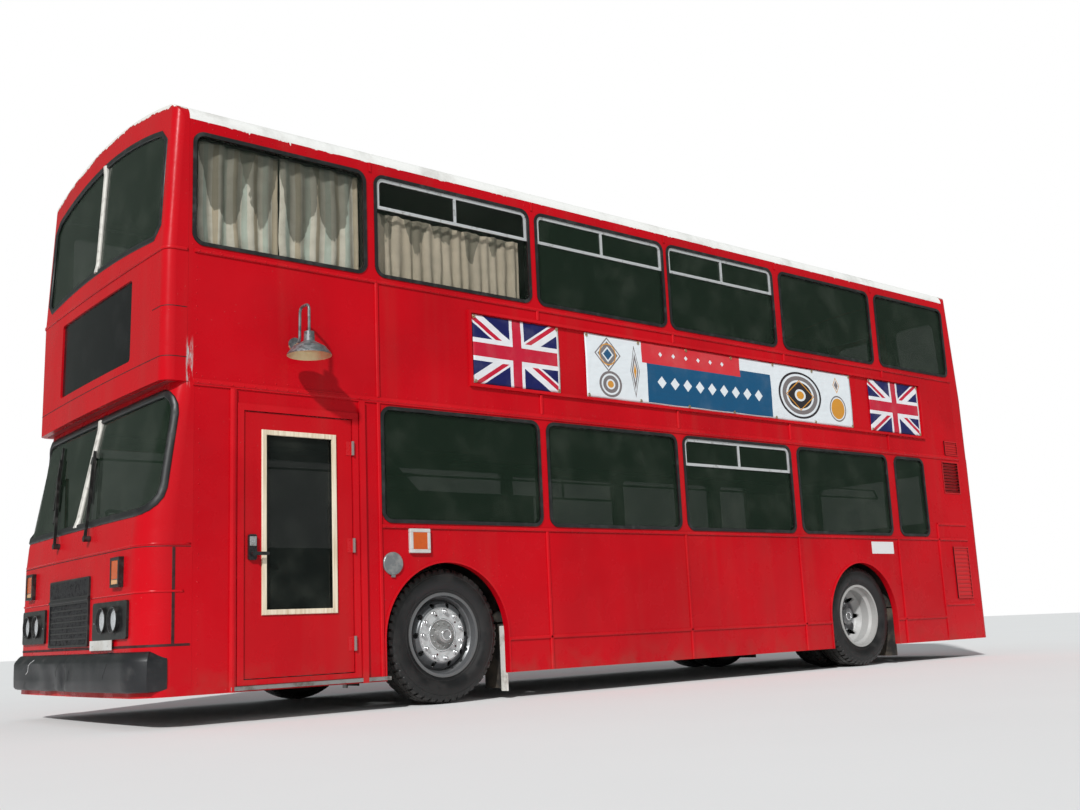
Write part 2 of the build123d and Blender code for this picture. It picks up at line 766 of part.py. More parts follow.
with BuildPart() as lower_floor:
    with BuildSketch(side_plane(floor_half)) as profile:
        with BuildLine():
            low = floor_z - floor_thickness
            step = rear_floor_z - floor_thickness
            Polyline(
                (front_seam_x - 2, low), (rear_step_x, low), (rear_step_x, step), (bulkhead_x, step),
                (bulkhead_x, rear_floor_z), (rear_step_x + floor_thickness, rear_floor_z),
                (rear_step_x + floor_thickness, floor_z), (front_seam_x - 2, floor_z), close=True,
            )
        make_face()
    extrude(profile.sketch, amount=2 * floor_half)
    for box in WHEEL_BOXES:
        for side in SIDES:
            with Locations((box.x, side.sign * (box.inner - box_sheet - joint_gap + 500), 600)):
                Box(2 * (box.half + box_sheet + joint_gap), 1000, 900, mode=Mode.SUBTRACT)
    with Locations(((entrance_fore_x + entrance_aft_x) / 2, entrance_inner_y + 500, floor_z)):
        Box(entrance_fore_x - entrance_aft_x, 1000, 300, mode=Mode.SUBTRACT)
save(lower_floor.part, "lower_floor")

with BuildPart() as wheel_boxes:
    for box in WHEEL_BOXES:
        depth = half_width - wall - joint_gap - box.inner
        with BuildPart(mode=Mode.PRIVATE) as shell:
            extrude(wheel_box_face(box, box_sheet), amount=depth + box_sheet)
            extrude(wheel_box_face(box, 0), amount=depth, mode=Mode.SUBTRACT)
        add(shell.part)
        add(mirror(shell.part, about=Plane.XZ))
save(wheel_boxes.part, "wheel_boxes")

# Entrance steps, then the bulkhead and shelf that close off the engine
entrance_length = entrance_fore_x - entrance_aft_x
entrance_middle_x = (entrance_fore_x + entrance_aft_x) / 2
tread = 24
Step = namedtuple("Step", "inner_y outer_y top_z riser_high_z")
STEPS = [Step(840, floor_half, 277, 444), Step(entrance_inner_y, 840, 444, floor_z - joint_gap)]
with BuildPart() as entrance_steps:
    for step in STEPS:
        with Locations((entrance_middle_x, (step.inner_y + step.outer_y) / 2, step.top_z - tread / 2)):
            Box(entrance_length - 2 * joint_gap, step.outer_y - step.inner_y, tread)
        with Locations((entrance_middle_x, step.inner_y + 6, (step.top_z - tread + step.riser_high_z) / 2)):
            Box(entrance_length - 2 * joint_gap, 12, step.riser_high_z - step.top_z + tread)
save(entrance_steps.part, "entrance_steps")

shelf_thickness = 24
shelf = Pos(0, 0, engine_shelf_z + shelf_thickness / 2) * Box(12000, 2 * floor_half, shelf_thickness)
with BuildPart() as bulkhead:
    low_z = rear_floor_z - floor_thickness
    with Locations((bulkhead_x - joint_gap - shelf_thickness / 2, 0, (low_z + engine_shelf_z) / 2)):
        Box(shelf_thickness, 2 * floor_half, engine_shelf_z - low_z)
    add(end_solid(REAR_LOWER, bulkhead_x - joint_gap, wall + joint_gap) & shelf)
save(bulkhead.part, "engine_bulkhead")

stair_fore_x = 1900
stair_aft_x = 420
stair_inner = 600
deck_thickness = 50


def deck_plan(rows, back_x):
    """Plan of the upper floor towards one end, clear of the shell over its whole thickness."""
    low_z, low_x, corner, bow = rows[0]
    high_z, high_x = rows[1][:2]
    lean = (high_x - low_x) * deck_thickness / (high_z - low_z)
    return plan_face(back_x, low_x + lean, corner, bow, deck_z + joint_gap, wall + joint_gap)


with BuildPart() as upper_floor:
    extrude(deck_plan(FRONT_UPPER, -1) + deck_plan(REAR_UPPER, 1), amount=deck_thickness - 2 * joint_gap)
    with Locations(((stair_fore_x + stair_aft_x + 250) / 2, -(stair_inner + 500), deck_z)):
        Box(stair_fore_x - stair_aft_x - 250, 1000, 200, mode=Mode.SUBTRACT)
save(upper_floor.part, "upper_floor")

risers = 7
with BuildPart() as staircase:
    rise = (deck_z - floor_z) / risers
    going = (stair_fore_x - stair_aft_x) / risers
    for step in range(risers - 1):
        with Locations((stair_aft_x + going * (step + 0.5), -(stair_inner + floor_half) / 2,
                        floor_z + rise * (step + 1))):
            Box(going + 14, floor_half - stair_inner - 30, 24)
    for y in (stair_inner + 15, floor_half - 15):
        with BuildSketch(side_plane(-y + 8)) as stringer:
            with BuildLine():
                Polyline(
                    (stair_aft_x, floor_z + joint_gap), (stair_aft_x + 260, floor_z + joint_gap),
                    (stair_fore_x, deck_z - 260), (stair_fore_x, deck_z - joint_gap),
                    (stair_fore_x - 80, deck_z - joint_gap), (stair_aft_x, floor_z + 270), close=True,
                )
            make_face()
        extrude(stringer.sketch, amount=16)
save(staircase.part, "staircase")


# Chassis frame: two channel rails kicked up over the rear axle, cross members and outriggers
kick = rear_floor_z - floor_z
rail_low_z = floor_z - floor_thickness - rail_depth
tow_plate = 16
tow_plate_length = 120
with BuildPart() as chassis:
    for side in SIDES:
        inner_y = side.sign * rail_inner
        outer_y = side.sign * (rail_inner + rail_width)
        for grow, near, far in [(0, inner_y, outer_y), (rail_web, inner_y + side.sign * rail_web, outer_y)]:
            low = rail_low_z + grow
            high = floor_z - floor_thickness - grow - (joint_gap if grow == 0 else 0)
            with BuildSketch(side_plane(near)) as rail:
                with BuildLine():
                    Polyline(
                        (4250, low), (rear_step_x - 60 - 2 * grow, low),
                        (rear_step_x - 220 - grow, low + kick),
                        (-3000 + grow, low + kick), (-3160 + 2 * grow, low), (rear_seam_x + 60, low),
                        (rear_seam_x + 60, high), (-3160, high), (-3000, high + kick),
                        (rear_step_x - 220, high + kick), (rear_step_x - 60, high), (4250, high),
                        close=True,
                    )
                make_face()
            mode = Mode.ADD if grow == 0 else Mode.SUBTRACT
            extrude(rail.sketch, amount=near - far, mode=mode)
    for side in SIDES:
        with Locations((tow_eye_x, side.sign * (rail_inner + rail_width / 2), rail_low_z + tow_plate / 2)):
            Box(tow_plate_length, rail_width, tow_plate)
        with Locations((tow_eye_x, side.sign * (rail_inner + rail_width / 2), rail_low_z)):
            Cylinder(tow_eye_radius, 4 * tow_plate, mode=Mode.SUBTRACT)
save(chassis.part, "chassis_frame")

member_width = 60
member_height = 100
member_drop = 10
outrigger_width = 50
outrigger_height = 90
MEMBERS = (4150, 3060, 1740, 500, -700, -1700, -3300, -4300)
OUTRIGGERS = (1740, 500, -700, -1700)
with BuildPart() as cross_members:
    rail_top = floor_z - floor_thickness - joint_gap
    for x in MEMBERS:
        with Locations((x, 0, rail_top - member_drop - member_height / 2)):
            Box(member_width, 2 * (rail_inner - joint_gap), member_height)
    near = rail_inner + rail_width + joint_gap
    for side in SIDES:
        for x in OUTRIGGERS:
            with Locations((x, side.sign * (near + floor_half - 1) / 2, rail_top - outrigger_height / 2)):
                Box(outrigger_width, floor_half - 1 - near, outrigger_height)
save(cross_members.part, "cross_members")

# Front axle, knuckles and wheels
beam_drop = 175
beam_width = 92
eye_radius = 46
eye_half = 52
knuckle_ear = 30
ear_gap = 1.0
with BuildPart() as front_axle:
    with BuildSketch(Plane.YZ.offset(front_axle_x - beam_width / 2)) as beam:
        with BuildLine():
            mid_low = axle_z - beam_drop - 50
            mid_high = axle_z - beam_drop + 45
            Polyline(
                (-kingpin_half, axle_z - 48), (-kingpin_half + 120, axle_z - 48),
                (-kingpin_half + 280, mid_low),
                (kingpin_half - 280, mid_low), (kingpin_half - 120, axle_z - 48),
                (kingpin_half, axle_z - 48),
                (kingpin_half, axle_z + 48), (kingpin_half - 150, axle_z + 48),
                (kingpin_half - 310, mid_high),
                (-kingpin_half + 310, mid_high), (-kingpin_half + 150, axle_z + 48),
                (-kingpin_half, axle_z + 48),
                close=True,
            )
        make_face()
    extrude(beam.sketch, amount=beam_width)
    with Locations((front_axle_x, kingpin_half, axle_z), (front_axle_x, -kingpin_half, axle_z)):
        Cylinder(eye_radius, 2 * eye_half)
        Cylinder(kingpin_radius + 0.05, 300, mode=Mode.SUBTRACT)
    for y in (-425, 425):
        with Locations((front_axle_x, y, axle_z - beam_drop + 45)):
            Box(150, 110, 14, align=(Align.CENTER, Align.CENTER, Align.MIN))
save(front_axle.part, "front_axle")

flange_radius = 300
rim_half = 112
drum_radius = 205
stub_radius = 38
for side, hand in zip(SIDES, ["left", "right"]):
    sign = side.sign
    with BuildPart() as knuckle:
        with Locations((front_axle_x, sign * kingpin_half, axle_z)):
            Cylinder(kingpin_radius, 2 * (eye_half + ear_gap + knuckle_ear))
        for way in (-1, 1):
            z = axle_z + way * (eye_half + ear_gap + knuckle_ear / 2)
            with Locations((front_axle_x, sign * (kingpin_half + 24), z)):
                Box(92, 132, knuckle_ear)
        with Locations((front_axle_x, sign * (kingpin_half + 74), axle_z)):
            Box(92, 32, 2 * (eye_half + ear_gap + knuckle_ear))
        with Locations(Location((front_axle_x, sign * (kingpin_half + 60), axle_z), (-90 * sign, 0, 0))):
            Cylinder(stub_radius, 190, align=(Align.CENTER, Align.CENTER, Align.MIN))
        with Locations((front_axle_x - 120, sign * (kingpin_half + 10), axle_z - eye_half - ear_gap - 15)):
            Box(210, 40, knuckle_ear)
    save(knuckle.part, "front_" + hand + "_knuckle")


def turned(points, x, y, sign):
    """Solid turned about a wheel's axle line. Rows: offset outboard, radius."""
    with BuildPart() as solid:
        with BuildSketch(Plane(origin=(x, y, axle_z), x_dir=(0, sign, 0), z_dir=(sign, 0, 0))) as profile:
            with BuildLine():
                Polyline(*points, close=True)
            make_face()
        revolve(profile.sketch, Axis((x, y, axle_z), (0, sign, 0)))
    return solid.part


def tyre_solid(x, y):
    """One tyre, hollow, open at its beads."""
    half = tyre_width / 2
    shoulder = tyre_radius - 17
    with BuildPart() as solid:
        with BuildSketch(Plane(origin=(x, y, axle_z), x_dir=(0, 1, 0), z_dir=(1, 0, 0))) as profile:
            with BuildLine():
                foot = Line((-rim_half, tyre_bead_radius), (-rim_half, flange_radius + 4))
                left = ThreePointArc(foot @ 1, (-half, 390), (-half + 20, shoulder))
                tread = ThreePointArc(left @ 1, (0, tyre_radius), (half - 20, shoulder))
                right = ThreePointArc(tread @ 1, (half, 390), (rim_half, flange_radius + 4))
                far_foot = Line(right @ 1, (rim_half, tyre_bead_radius))
                step_in = Line(far_foot @ 1, (rim_half - 24, tyre_bead_radius))
                inner = Polyline(
                    step_in @ 1, (half - 22, 385), (half - 42, shoulder - 24), (-half + 42, shoulder - 24),
                    (-half + 22, 385), (-rim_half + 24, tyre_bead_radius),
                )
                Line(inner @ 1, foot @ 0)
            make_face()
        revolve(profile.sketch, Axis((x, y, axle_z), (0, 1, 0)))
    return solid.part


seat = tyre_bead_radius - joint_gap
lip = rim_half + joint_gap
RIM_PROFILE = [
    (-lip - 8, flange_radius), (-lip, flange_radius), (-lip, seat), (-lip + 40, seat - 4),
    (-lip + 62, seat - 26),
    (lip - 62, seat - 26), (lip - 40, seat - 4), (lip, seat), (lip, flange_radius),
    (lip + 8, flange_radius),
    (lip + 8, seat - 9), (lip - 46, seat - 13), (lip - 68, seat - 35), (-lip + 68, seat - 35),
    (-lip + 46, seat - 13),
    (-lip - 8, seat - 9),
]
rim_well = seat - 30
FRONT_DISC = [(30, rim_well), (62, 236), (88, 205), (92, 190), (92, 96), (80, 96), (80, 186), (50, 230),
              (20, rim_well)]
FRONT_HUB = [
    (150, 0), (150, 40), (142, 58), (91, 66), (91, 110), (81, 110), (81, 112), (-20, 112),
    (-20, drum_radius),
    (-94, drum_radius), (-94, stub_radius + 0.05), (60, stub_radius + 0.05), (60, 0),
]
HAND_HOLES = 10
for side, hand in zip(SIDES, ["left", "right"]):
    sign = side.sign
    y = sign * front_track_half
    with BuildPart() as rim:
        add(turned(RIM_PROFILE, front_axle_x, y, sign))
        add(turned(FRONT_DISC, front_axle_x, y, sign))
        add(turned(FRONT_HUB, front_axle_x, y, sign))
        with BuildSketch(Plane(origin=(front_axle_x, y, axle_z), x_dir=(1, 0, 0),
                               z_dir=(0, sign, 0))) as holes:
            with PolarLocations(214, HAND_HOLES):
                Circle(20)
        extrude(holes.sketch, amount=120, mode=Mode.SUBTRACT)
    save(rim.part, "front_" + hand + "_rim")
    with BuildPart() as tyre:
        add(tyre_solid(front_axle_x, y))
    save(tyre.part, "front_" + hand + "_tyre")

# Rear axle and the twin wheels
twin_half = (tyre_width + twin_gap) / 2
rear_mid_half = rear_outer_half - twin_half
spindle_radius = 45
REAR_DISC = [
    (twin_half - 40, rim_well), (60, 236), (14, 210), (0.5, 196), (0.5, 120), (12, 120), (12, 190),
    (26, 204),
    (70, 228), (twin_half - 26, rim_well),
]
REAR_HUB = [
    (150, 0), (150, 70), (142, 84), (30, 96), (30, 124), (-30, 124), (-30, drum_radius),
    (-240, drum_radius),
    (-240, spindle_radius + 0.05), (110, spindle_radius + 0.05), (110, 0),
]
for side, hand in zip(SIDES, ["left", "right"]):
    sign = side.sign
    y = sign * rear_mid_half
    with BuildPart() as rims:
        add(turned([(offset + twin_half, radius) for offset, radius in RIM_PROFILE], rear_axle_x, y, sign))
        add(turned([(offset - twin_half, radius) for offset, radius in RIM_PROFILE], rear_axle_x, y, sign))
        add(turned(REAR_DISC, rear_axle_x, y, sign))
        add(turned([(-offset, radius) for offset, radius in REAR_DISC], rear_axle_x, y, sign))
        add(turned(REAR_HUB, rear_axle_x, y, sign))
        with BuildSketch(Plane(origin=(rear_axle_x, y, axle_z), x_dir=(1, 0, 0),
                               z_dir=(0, sign, 0))) as holes:
            with PolarLocations(220, 8):
                Circle(24)
        extrude(holes.sketch, amount=100, both=True, mode=Mode.SUBTRACT)
    save(rims.part, "rear_" + hand + "_rims")
    with BuildPart() as tyres:
        add(tyre_solid(rear_axle_x, y - twin_half))
        add(tyre_solid(rear_axle_x, y + twin_half))
    save(tyres.part, "rear_" + hand + "_tyres")


# Rear axle: tube, final drive housing and spindles
axle_tube = 65
with BuildPart() as rear_axle:
    with Locations(Location((rear_axle_x, 0, axle_z), (90, 0, 0))):
        Cylinder(axle_tube, 2 * 590)
        Cylinder(spindle_radius, 2 * (rear_mid_half + 100))
    with Locations((rear_axle_x, -180, axle_z)):
        Sphere(165)
    with Locations(Location((rear_axle_x - 40, -180, axle_z), (0, -90, 0))):
        Cylinder(70, 250, align=(Align.CENTER, Align.CENTER, Align.MIN))
    for y in (-rail_inner - rail_width / 2, rail_inner + rail_width / 2):
        with Locations((rear_axle_x, y, axle_z)):
            Box(620, 70, 60)
save(rear_axle.part, "rear_axle")

# Air springs between the axles and the frame
with BuildPart() as air_springs:
    front_seat_z = axle_z - beam_drop + 45 + 14 + joint_gap
    front_top_z = floor_z - floor_thickness - rail_depth - 2 * joint_gap
    for side in SIDES:
        spots = [(front_axle_x, front_seat_z, front_top_z, 50)]
        for way in (-1, 1):
            low_z = axle_z + 30 + joint_gap
            spots.append((rear_axle_x + way * 240, low_z, low_z + 44, 44))
        for x, low_z, high_z, radius in spots:
            with Locations((x, side.sign * (rail_inner + rail_width / 2), low_z)):
                Cylinder(radius, high_z - low_z, align=(Align.CENTER, Align.CENTER, Align.MIN))
save(air_springs.part, "air_springs")

# Engine as one plain block on the frame behind the bulkhead
engine_length = 620
engine_width = 1150
engine_high_z = 1290
engine_x = -4290
with BuildPart() as engine:
    low_z = floor_z - floor_thickness
    with Locations((engine_x, 0, low_z)):
        Box(engine_length, engine_width, engine_high_z - low_z,
            align=(Align.CENTER, Align.CENTER, Align.MIN))
save(engine.part, "engine_block")

# Cab: dash, steering column and wheel, and the driver's seat
cab_y = -640
with BuildPart() as cab:
    with BuildSketch(side_plane(cab_y + 480)) as dash:
        with BuildLine():
            Polyline(
                (4600, floor_z + joint_gap), (4180, floor_z + joint_gap), (4120, 1120), (4200, 1215),
                (4560, 1215),
                close=True,
            )
        make_face()
    extrude(dash.sketch, amount=900)
    column = Plane(origin=(4170, cab_y, 1080), z_dir=(-0.5, 0, 0.87))
    with BuildSketch(column) as shaft:
        Circle(30)
    extrude(shaft.sketch, amount=200)
    with BuildSketch(column.offset(185)) as wheel:
        Circle(235)
        Circle(205, mode=Mode.SUBTRACT)
        Rectangle(430, 34)
        Circle(60)
    extrude(wheel.sketch, amount=26)
save(cab.part, "cab_dash")

with BuildPart() as seat_part:
    with Locations((3520, cab_y, floor_z + joint_gap)):
        Box(300, 340, 330, align=(Align.CENTER, Align.CENTER, Align.MIN))
    with Locations((3530, cab_y, floor_z + 330)):
        Box(480, 500, 110, align=(Align.CENTER, Align.CENTER, Align.MIN))
    with BuildSketch(side_plane(cab_y + 240)) as backrest:
        with BuildLine():
            Polyline((3340, 960), (3250, 960), (3110, 1640), (3210, 1660), close=True)
        make_face()
    extrude(backrest.sketch, amount=480)
save(seat_part.part, "driver_seat")

# Lamps on the corners and sides, and the round cap by the front wheel
REAR_LAMP_Z = [660, 800, 940]


def rear_lamps(y):
    """Column of round lamps on the tail at one y, seated on the rear face."""
    with BuildPart() as column:
        for z in REAR_LAMP_Z:
            with Locations(Location((rear_face_x + 20, y, z), (0, -90, 0))):
                Cylinder(58, 44, align=(Align.CENTER, Align.CENTER, Align.MIN))
        add(end_solid(REAR_LOWER, rear_seam_x, -joint_gap), mode=Mode.SUBTRACT)
    return column.part


Indicator = namedtuple("Indicator", "y z width height")
indicator = Indicator(877, 960, 140, 176)
side_lamp = (2671, 1148)
with BuildPart() as signals:
    for side in SIDES:
        add(on_front(side.sign * indicator.y, indicator.z, indicator.width, indicator.height, 14,
                     -joint_gap, 26))
        outer = side.sign * (half_width + 24 + joint_gap)
        face = side_box(side_lamp[0] + 80, side_lamp[0] - 80, side_lamp[1] - 80, side_lamp[1] + 80, outer)
        extrude(face, amount=inward(side, 24))
        add(rear_lamps(side.sign * 1060))
save(signals.part, "signal_lamps")

cap = (2893, 988, 80)
with BuildPart() as filler_cap:
    with BuildSketch(side_plane(half_width + 16 + joint_gap)) as disc:
        with Locations(cap[:2]):
            Circle(cap[2])
    extrude(disc.sketch, amount=16)
    chamfer(filler_cap.edges().group_by(Axis.Y)[-1], 5)
save(filler_cap.part, "filler_cap")

# Banner frame's place, which the upright mouldings stop at
banner_fore_x = 2176
banner_aft_x = -3866
banner_low_z = 2324
banner_high_z = 2925
banner_rim = 24
banner_proud = 22

# Mouldings along both sides: level rows, upright strips, door posts and the wheel arches' lips
mould = 8
strip_width = 18
arch_lip = 14
tail_box_x = -3950
tail_box_z = 1410
Moulding = namedtuple("Moulding", "z height fore_x aft_x")
MOULDINGS = [
    Moulding(upper_sill_z, 22, upper_seam_x - 40, rear_seam_x),
    Moulding(deck_z, 44, upper_seam_x - 40, rear_seam_x),
    Moulding(sill_z, 26, surround_aft_x - strip_width / 2, rear_seam_x),
    Moulding(skirt_rail_z, 20, front_axle_x - arch_half - arch_lip / 2,
             rear_axle_x + arch_half + arch_lip / 2),
    Moulding(skirt_rail_z, 20, rear_axle_x - arch_half - arch_lip / 2, tail_box_x),
    Moulding(tail_box_z, 16, tail_box_x, rear_seam_x),
]
Strip = namedtuple("Strip", "x low_z high_z")
SEAMS = [panel.fore_x for panel in SKIRTS[1:]]
PILLARS = [
    (aft.fore_x + fore.fore_x - fore.length) / 2
    for fore, aft in zip(UPPER_WINDOWS, UPPER_WINDOWS[1:])
]
STRIPS = [Strip(x, skirt_z, sill_z) for x in SEAMS + [surround_aft_x]]
STRIPS += [Strip(x, upper_window_high_z + 4, cant_z - 4) for x in PILLARS]
STRIPS += [Strip(surround_aft_x, deck_z, upper_sill_z), Strip(tail_box_x, skirt_z, tail_box_z)]
BEHIND_BANNER = [Strip(x, deck_z, upper_sill_z) for x in SEAMS]
CLEAR_OF_BANNER = [Strip(x, deck_z, banner_low_z - 2) for x in SEAMS]
CLEAR_OF_BANNER += [Strip(x, banner_high_z + 2, upper_sill_z) for x in SEAMS]
CLEAR_OF_BANNER += [Strip(surround_aft_x, sill_z, deck_z)]
post_width = 44
post_proud = 20
DOOR_POSTS = (opening_fore_x + 6 + post_width / 2, opening_aft_x - 6 - post_width / 2)


def arch_outline(x, y, grow):
    """A wheel arch's outline on the side, grown by grow, down to the skirt's edge."""
    half = arch_half + grow
    with BuildSketch(side_plane(y)) as arch:
        with Locations((x, arch_centre_z)):
            Circle(half)
        with Locations((x, (arch_centre_z + skirt_z) / 2)):
            Rectangle(2 * half, arch_centre_z - skirt_z)
        with Locations((x, skirt_z - 500)):
            Rectangle(4 * half, 1000, mode=Mode.SUBTRACT)
    return arch.sketch


with BuildPart() as mouldings:
    for side in SIDES:
        outer = side.sign * (half_width + mould + joint_gap)
        faces = [side_box(row.fore_x, row.aft_x, row.z - row.height / 2, row.z + row.height / 2, outer)
                 for row in MOULDINGS]
        for strip in STRIPS + (CLEAR_OF_BANNER if side.sign > 0 else BEHIND_BANNER):
            half = strip_width / 2
            faces.append(side_box(strip.x + half, strip.x - half, strip.low_z, strip.high_z, outer))
        for x in (front_axle_x, rear_axle_x):
            faces.append(arch_outline(x, outer, arch_lip) - arch_outline(x, outer, 0))
        for face in faces:
            extrude(face, amount=inward(side, mould))
    for x in DOOR_POSTS:
        half = post_width / 2
        face = side_box(x + half, x - half, skirt_z, deck_z - 22 - 2, half_width + post_proud + joint_gap)
        extrude(face, amount=post_proud)
        chamfer(mouldings.faces().filter_by(Axis.Y).sort_by(Axis.Y)[-1].edges().filter_by(Axis.Z), 8)
save(mouldings.part, "side_mouldings")

# Wall lamp on its gooseneck above the entrance
lamp_x = 3640
lamp_base_z = 2440
lamp_out = 205
shade_radius = 148
shade_low_z = 2352
pipe_radius = 10
with BuildPart() as wall_lamp:
    wall_y = half_width + joint_gap
    with Locations(Location((lamp_x, wall_y, lamp_base_z + 30), (-90, 0, 0))):
        Cylinder(48, 12, align=(Align.CENTER, Align.CENTER, Align.MIN))
    with BuildLine() as neck:
        FilletPolyline(
            (lamp_x, wall_y + 6, lamp_base_z + 30), (lamp_x, wall_y + 70, lamp_base_z + 30),
            (lamp_x, wall_y + 80, 2712), (lamp_x, wall_y + lamp_out, 2712),
            (lamp_x, wall_y + lamp_out, 2490),
            radius=40,
        )
    with BuildSketch(Plane(origin=neck.line @ 0, z_dir=neck.line % 0)) as pipe:
        Circle(pipe_radius)
    sweep(pipe.sketch, path=neck.line)
    with BuildSketch(Plane(origin=(lamp_x, wall_y + lamp_out, 0), x_dir=(1, 0, 0),
                           z_dir=(0, -1, 0))) as shade:
        with BuildLine():
            Polyline(
                (0, 2520), (34, 2516), (38, 2450), (60, 2438), (110, 2410), (140, 2372),
                (shade_radius, 2358),
                (shade_radius, shade_low_z), (136, 2366), (104, 2402), (56, 2430), (32, 2440),
                (0, 2440), close=True,
            )
        make_face()
    revolve(shade.sketch, Axis((lamp_x, wall_y + lamp_out, 0), (0, 0, 1)))
save(wall_lamp.part, "wall_lamp")

# Louvred vents on the tail: one in the wall's opening and two on the panels
Vent = namedtuple("Vent", "fore_x aft_x low_z high_z slats foot_y depth")
vent_rim = 12
vent_plate = 5
vent_end_x = rear_seam_x + 14
VENTS = [
    Vent(LOUVRE.fore_x - joint_gap, LOUVRE.aft_x + joint_gap, LOUVRE.low_z + joint_gap,
         LOUVRE.high_z - joint_gap, 10,
         half_width - 24, 28),
    Vent(-4242, vent_end_x, deck_z + 26, 2328, 5, half_width + joint_gap, 14),
    Vent(-4200, vent_end_x, 620, 1170, 12, half_width + joint_gap, 14),
]
with BuildPart() as side_louvres:
    for vent in VENTS:
        rim_y = vent.foot_y + vent.depth
        ring = side_box(vent.fore_x, vent.aft_x, vent.low_z, vent.high_z, rim_y)
        ring -= side_box(vent.fore_x - vent_rim, vent.aft_x + vent_rim, vent.low_z + vent_rim,
                         vent.high_z - vent_rim, rim_y)
        extrude(ring, amount=vent.depth)
        back = side_box(vent.fore_x, vent.aft_x, vent.low_z, vent.high_z, vent.foot_y + vent_plate)
        extrude(back, amount=vent_plate)
        pitch = (vent.high_z - vent.low_z - 2 * vent_rim) / vent.slats
        for row in range(vent.slats):
            z = vent.low_z + vent_rim + (row + 1) * pitch
            with BuildSketch(Plane.YZ.offset(vent.aft_x + vent_rim - 1)) as slat_face:
                with BuildLine():
                    Polyline(
                        (vent.foot_y, z), (rim_y - 2, z - 0.55 * pitch), (rim_y - 2, z - 0.55 * pitch - 3),
                        (vent.foot_y, z - 5), close=True,
                    )
                make_face()
            extrude(slat_face.sketch, amount=vent.fore_x - vent.aft_x - 2 * vent_rim + 2)
save(side_louvres.part, "side_louvres")

# Banner frame with its three cloths, and the curtains
with BuildPart() as banner_frame:
    face_y = half_width + banner_proud + joint_gap
    ring = side_box(banner_fore_x, banner_aft_x, banner_low_z, banner_high_z, face_y)
    ring -= side_box(
        banner_fore_x - banner_rim, banner_aft_x + banner_rim, banner_low_z + banner_rim,
        banner_high_z - banner_rim,
        face_y,
    )
    extrude(ring, amount=banner_proud)
save(banner_frame.part, "banner_frame")

cloth = 3
CLOTHS = [(2140, 1274), (987, -2616), (-2923, -3815)]
cloth_low_z = 2350
cloth_high_z = 2895
with BuildPart() as cloths:
    for fore_x, aft_x in CLOTHS:
        extrude(side_box(fore_x, aft_x, cloth_low_z, cloth_high_z, half_width + cloth + joint_gap),
                amount=cloth)
save(cloths.part, "banner_cloths")

curtain = 40
CURTAINS = [(4320, 3080, 3085, 3830), (2960, 1560, 3085, 3590)]
with BuildPart() as curtains:
    for fore_x, aft_x, low_z, high_z in CURTAINS:
        extrude(side_box(fore_x, aft_x, low_z, high_z, half_width - wall - joint_gap), amount=curtain)
save(curtains.part, "curtains")

print("all nodes written")
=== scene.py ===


# %% [markdown]
# # A red double decker bus, dressed over its CAD frame
# The CAD model gives the bus its shape, its wheels, its doors and its glass. This notebook adds what
# a coach painter, a trimmer and a tyre fitter would add: paint, rivets, wire mesh, tyres
# with a tread, curtains and the banners on the side. Every length is in metres, with +X to the front,
# +Y to the side with the door and +Z up.

# %% Load the frame
import json
import math
import random

import bpy
from mathutils import Matrix, Vector, noise
from mathutils.bvhtree import BVHTree

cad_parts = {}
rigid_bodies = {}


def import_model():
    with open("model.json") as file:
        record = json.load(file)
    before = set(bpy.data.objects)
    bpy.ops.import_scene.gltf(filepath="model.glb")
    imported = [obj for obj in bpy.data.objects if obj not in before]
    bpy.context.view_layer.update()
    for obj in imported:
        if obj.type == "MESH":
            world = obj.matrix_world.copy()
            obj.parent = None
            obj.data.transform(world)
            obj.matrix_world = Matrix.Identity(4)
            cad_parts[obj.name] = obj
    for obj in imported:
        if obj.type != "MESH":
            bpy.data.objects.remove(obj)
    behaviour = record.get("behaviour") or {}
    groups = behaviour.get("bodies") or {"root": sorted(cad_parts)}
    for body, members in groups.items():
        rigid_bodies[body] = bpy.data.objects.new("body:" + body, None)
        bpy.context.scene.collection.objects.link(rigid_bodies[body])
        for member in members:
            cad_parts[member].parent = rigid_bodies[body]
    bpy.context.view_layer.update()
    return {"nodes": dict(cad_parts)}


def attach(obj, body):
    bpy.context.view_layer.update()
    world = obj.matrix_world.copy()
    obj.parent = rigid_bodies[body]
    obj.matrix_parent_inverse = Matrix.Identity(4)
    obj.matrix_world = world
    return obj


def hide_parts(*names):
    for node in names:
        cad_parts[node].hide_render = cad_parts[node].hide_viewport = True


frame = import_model()
cad_nodes = frame["nodes"]

# %% [markdown]
# ## Camera
# The camera stands low, ahead of the front corner on the door side, and looks up a little. Its place
# and its lens were worked out from the window lines and the wheels, so the bus fills the picture as
# it should. Three unit vectors turn a heading, a climb and a small roll into the camera's matrix.

# %% Camera
camera_place = Vector((7.35, 8.306, 0.4933))
heading, climb, lean = -2.26376, 0.187934, -0.044996
ahead = Vector((math.cos(climb) * math.cos(heading), math.cos(climb) * math.sin(heading), math.sin(climb)))
level = ahead.cross(Vector((0, 0, 1))).normalized()
above = level.cross(ahead)
across = math.cos(lean) * level + math.sin(lean) * above
upward = -math.sin(lean) * level + math.cos(lean) * above
camera_data = bpy.data.cameras.new("camera")
camera_data.sensor_width = 36
camera_data.lens = 39.245
camera_data.clip_end = 200
camera = bpy.data.objects.new("camera", camera_data)
turned = Matrix((across, upward, -ahead)).transposed().to_4x4()
camera.matrix_world = Matrix.Translation(camera_place) @ turned
bpy.context.scene.collection.objects.link(camera)
bpy.context.scene.camera = camera
print("lens", round(camera_data.lens, 2), "mm, at", [round(v, 2) for v in camera_place])

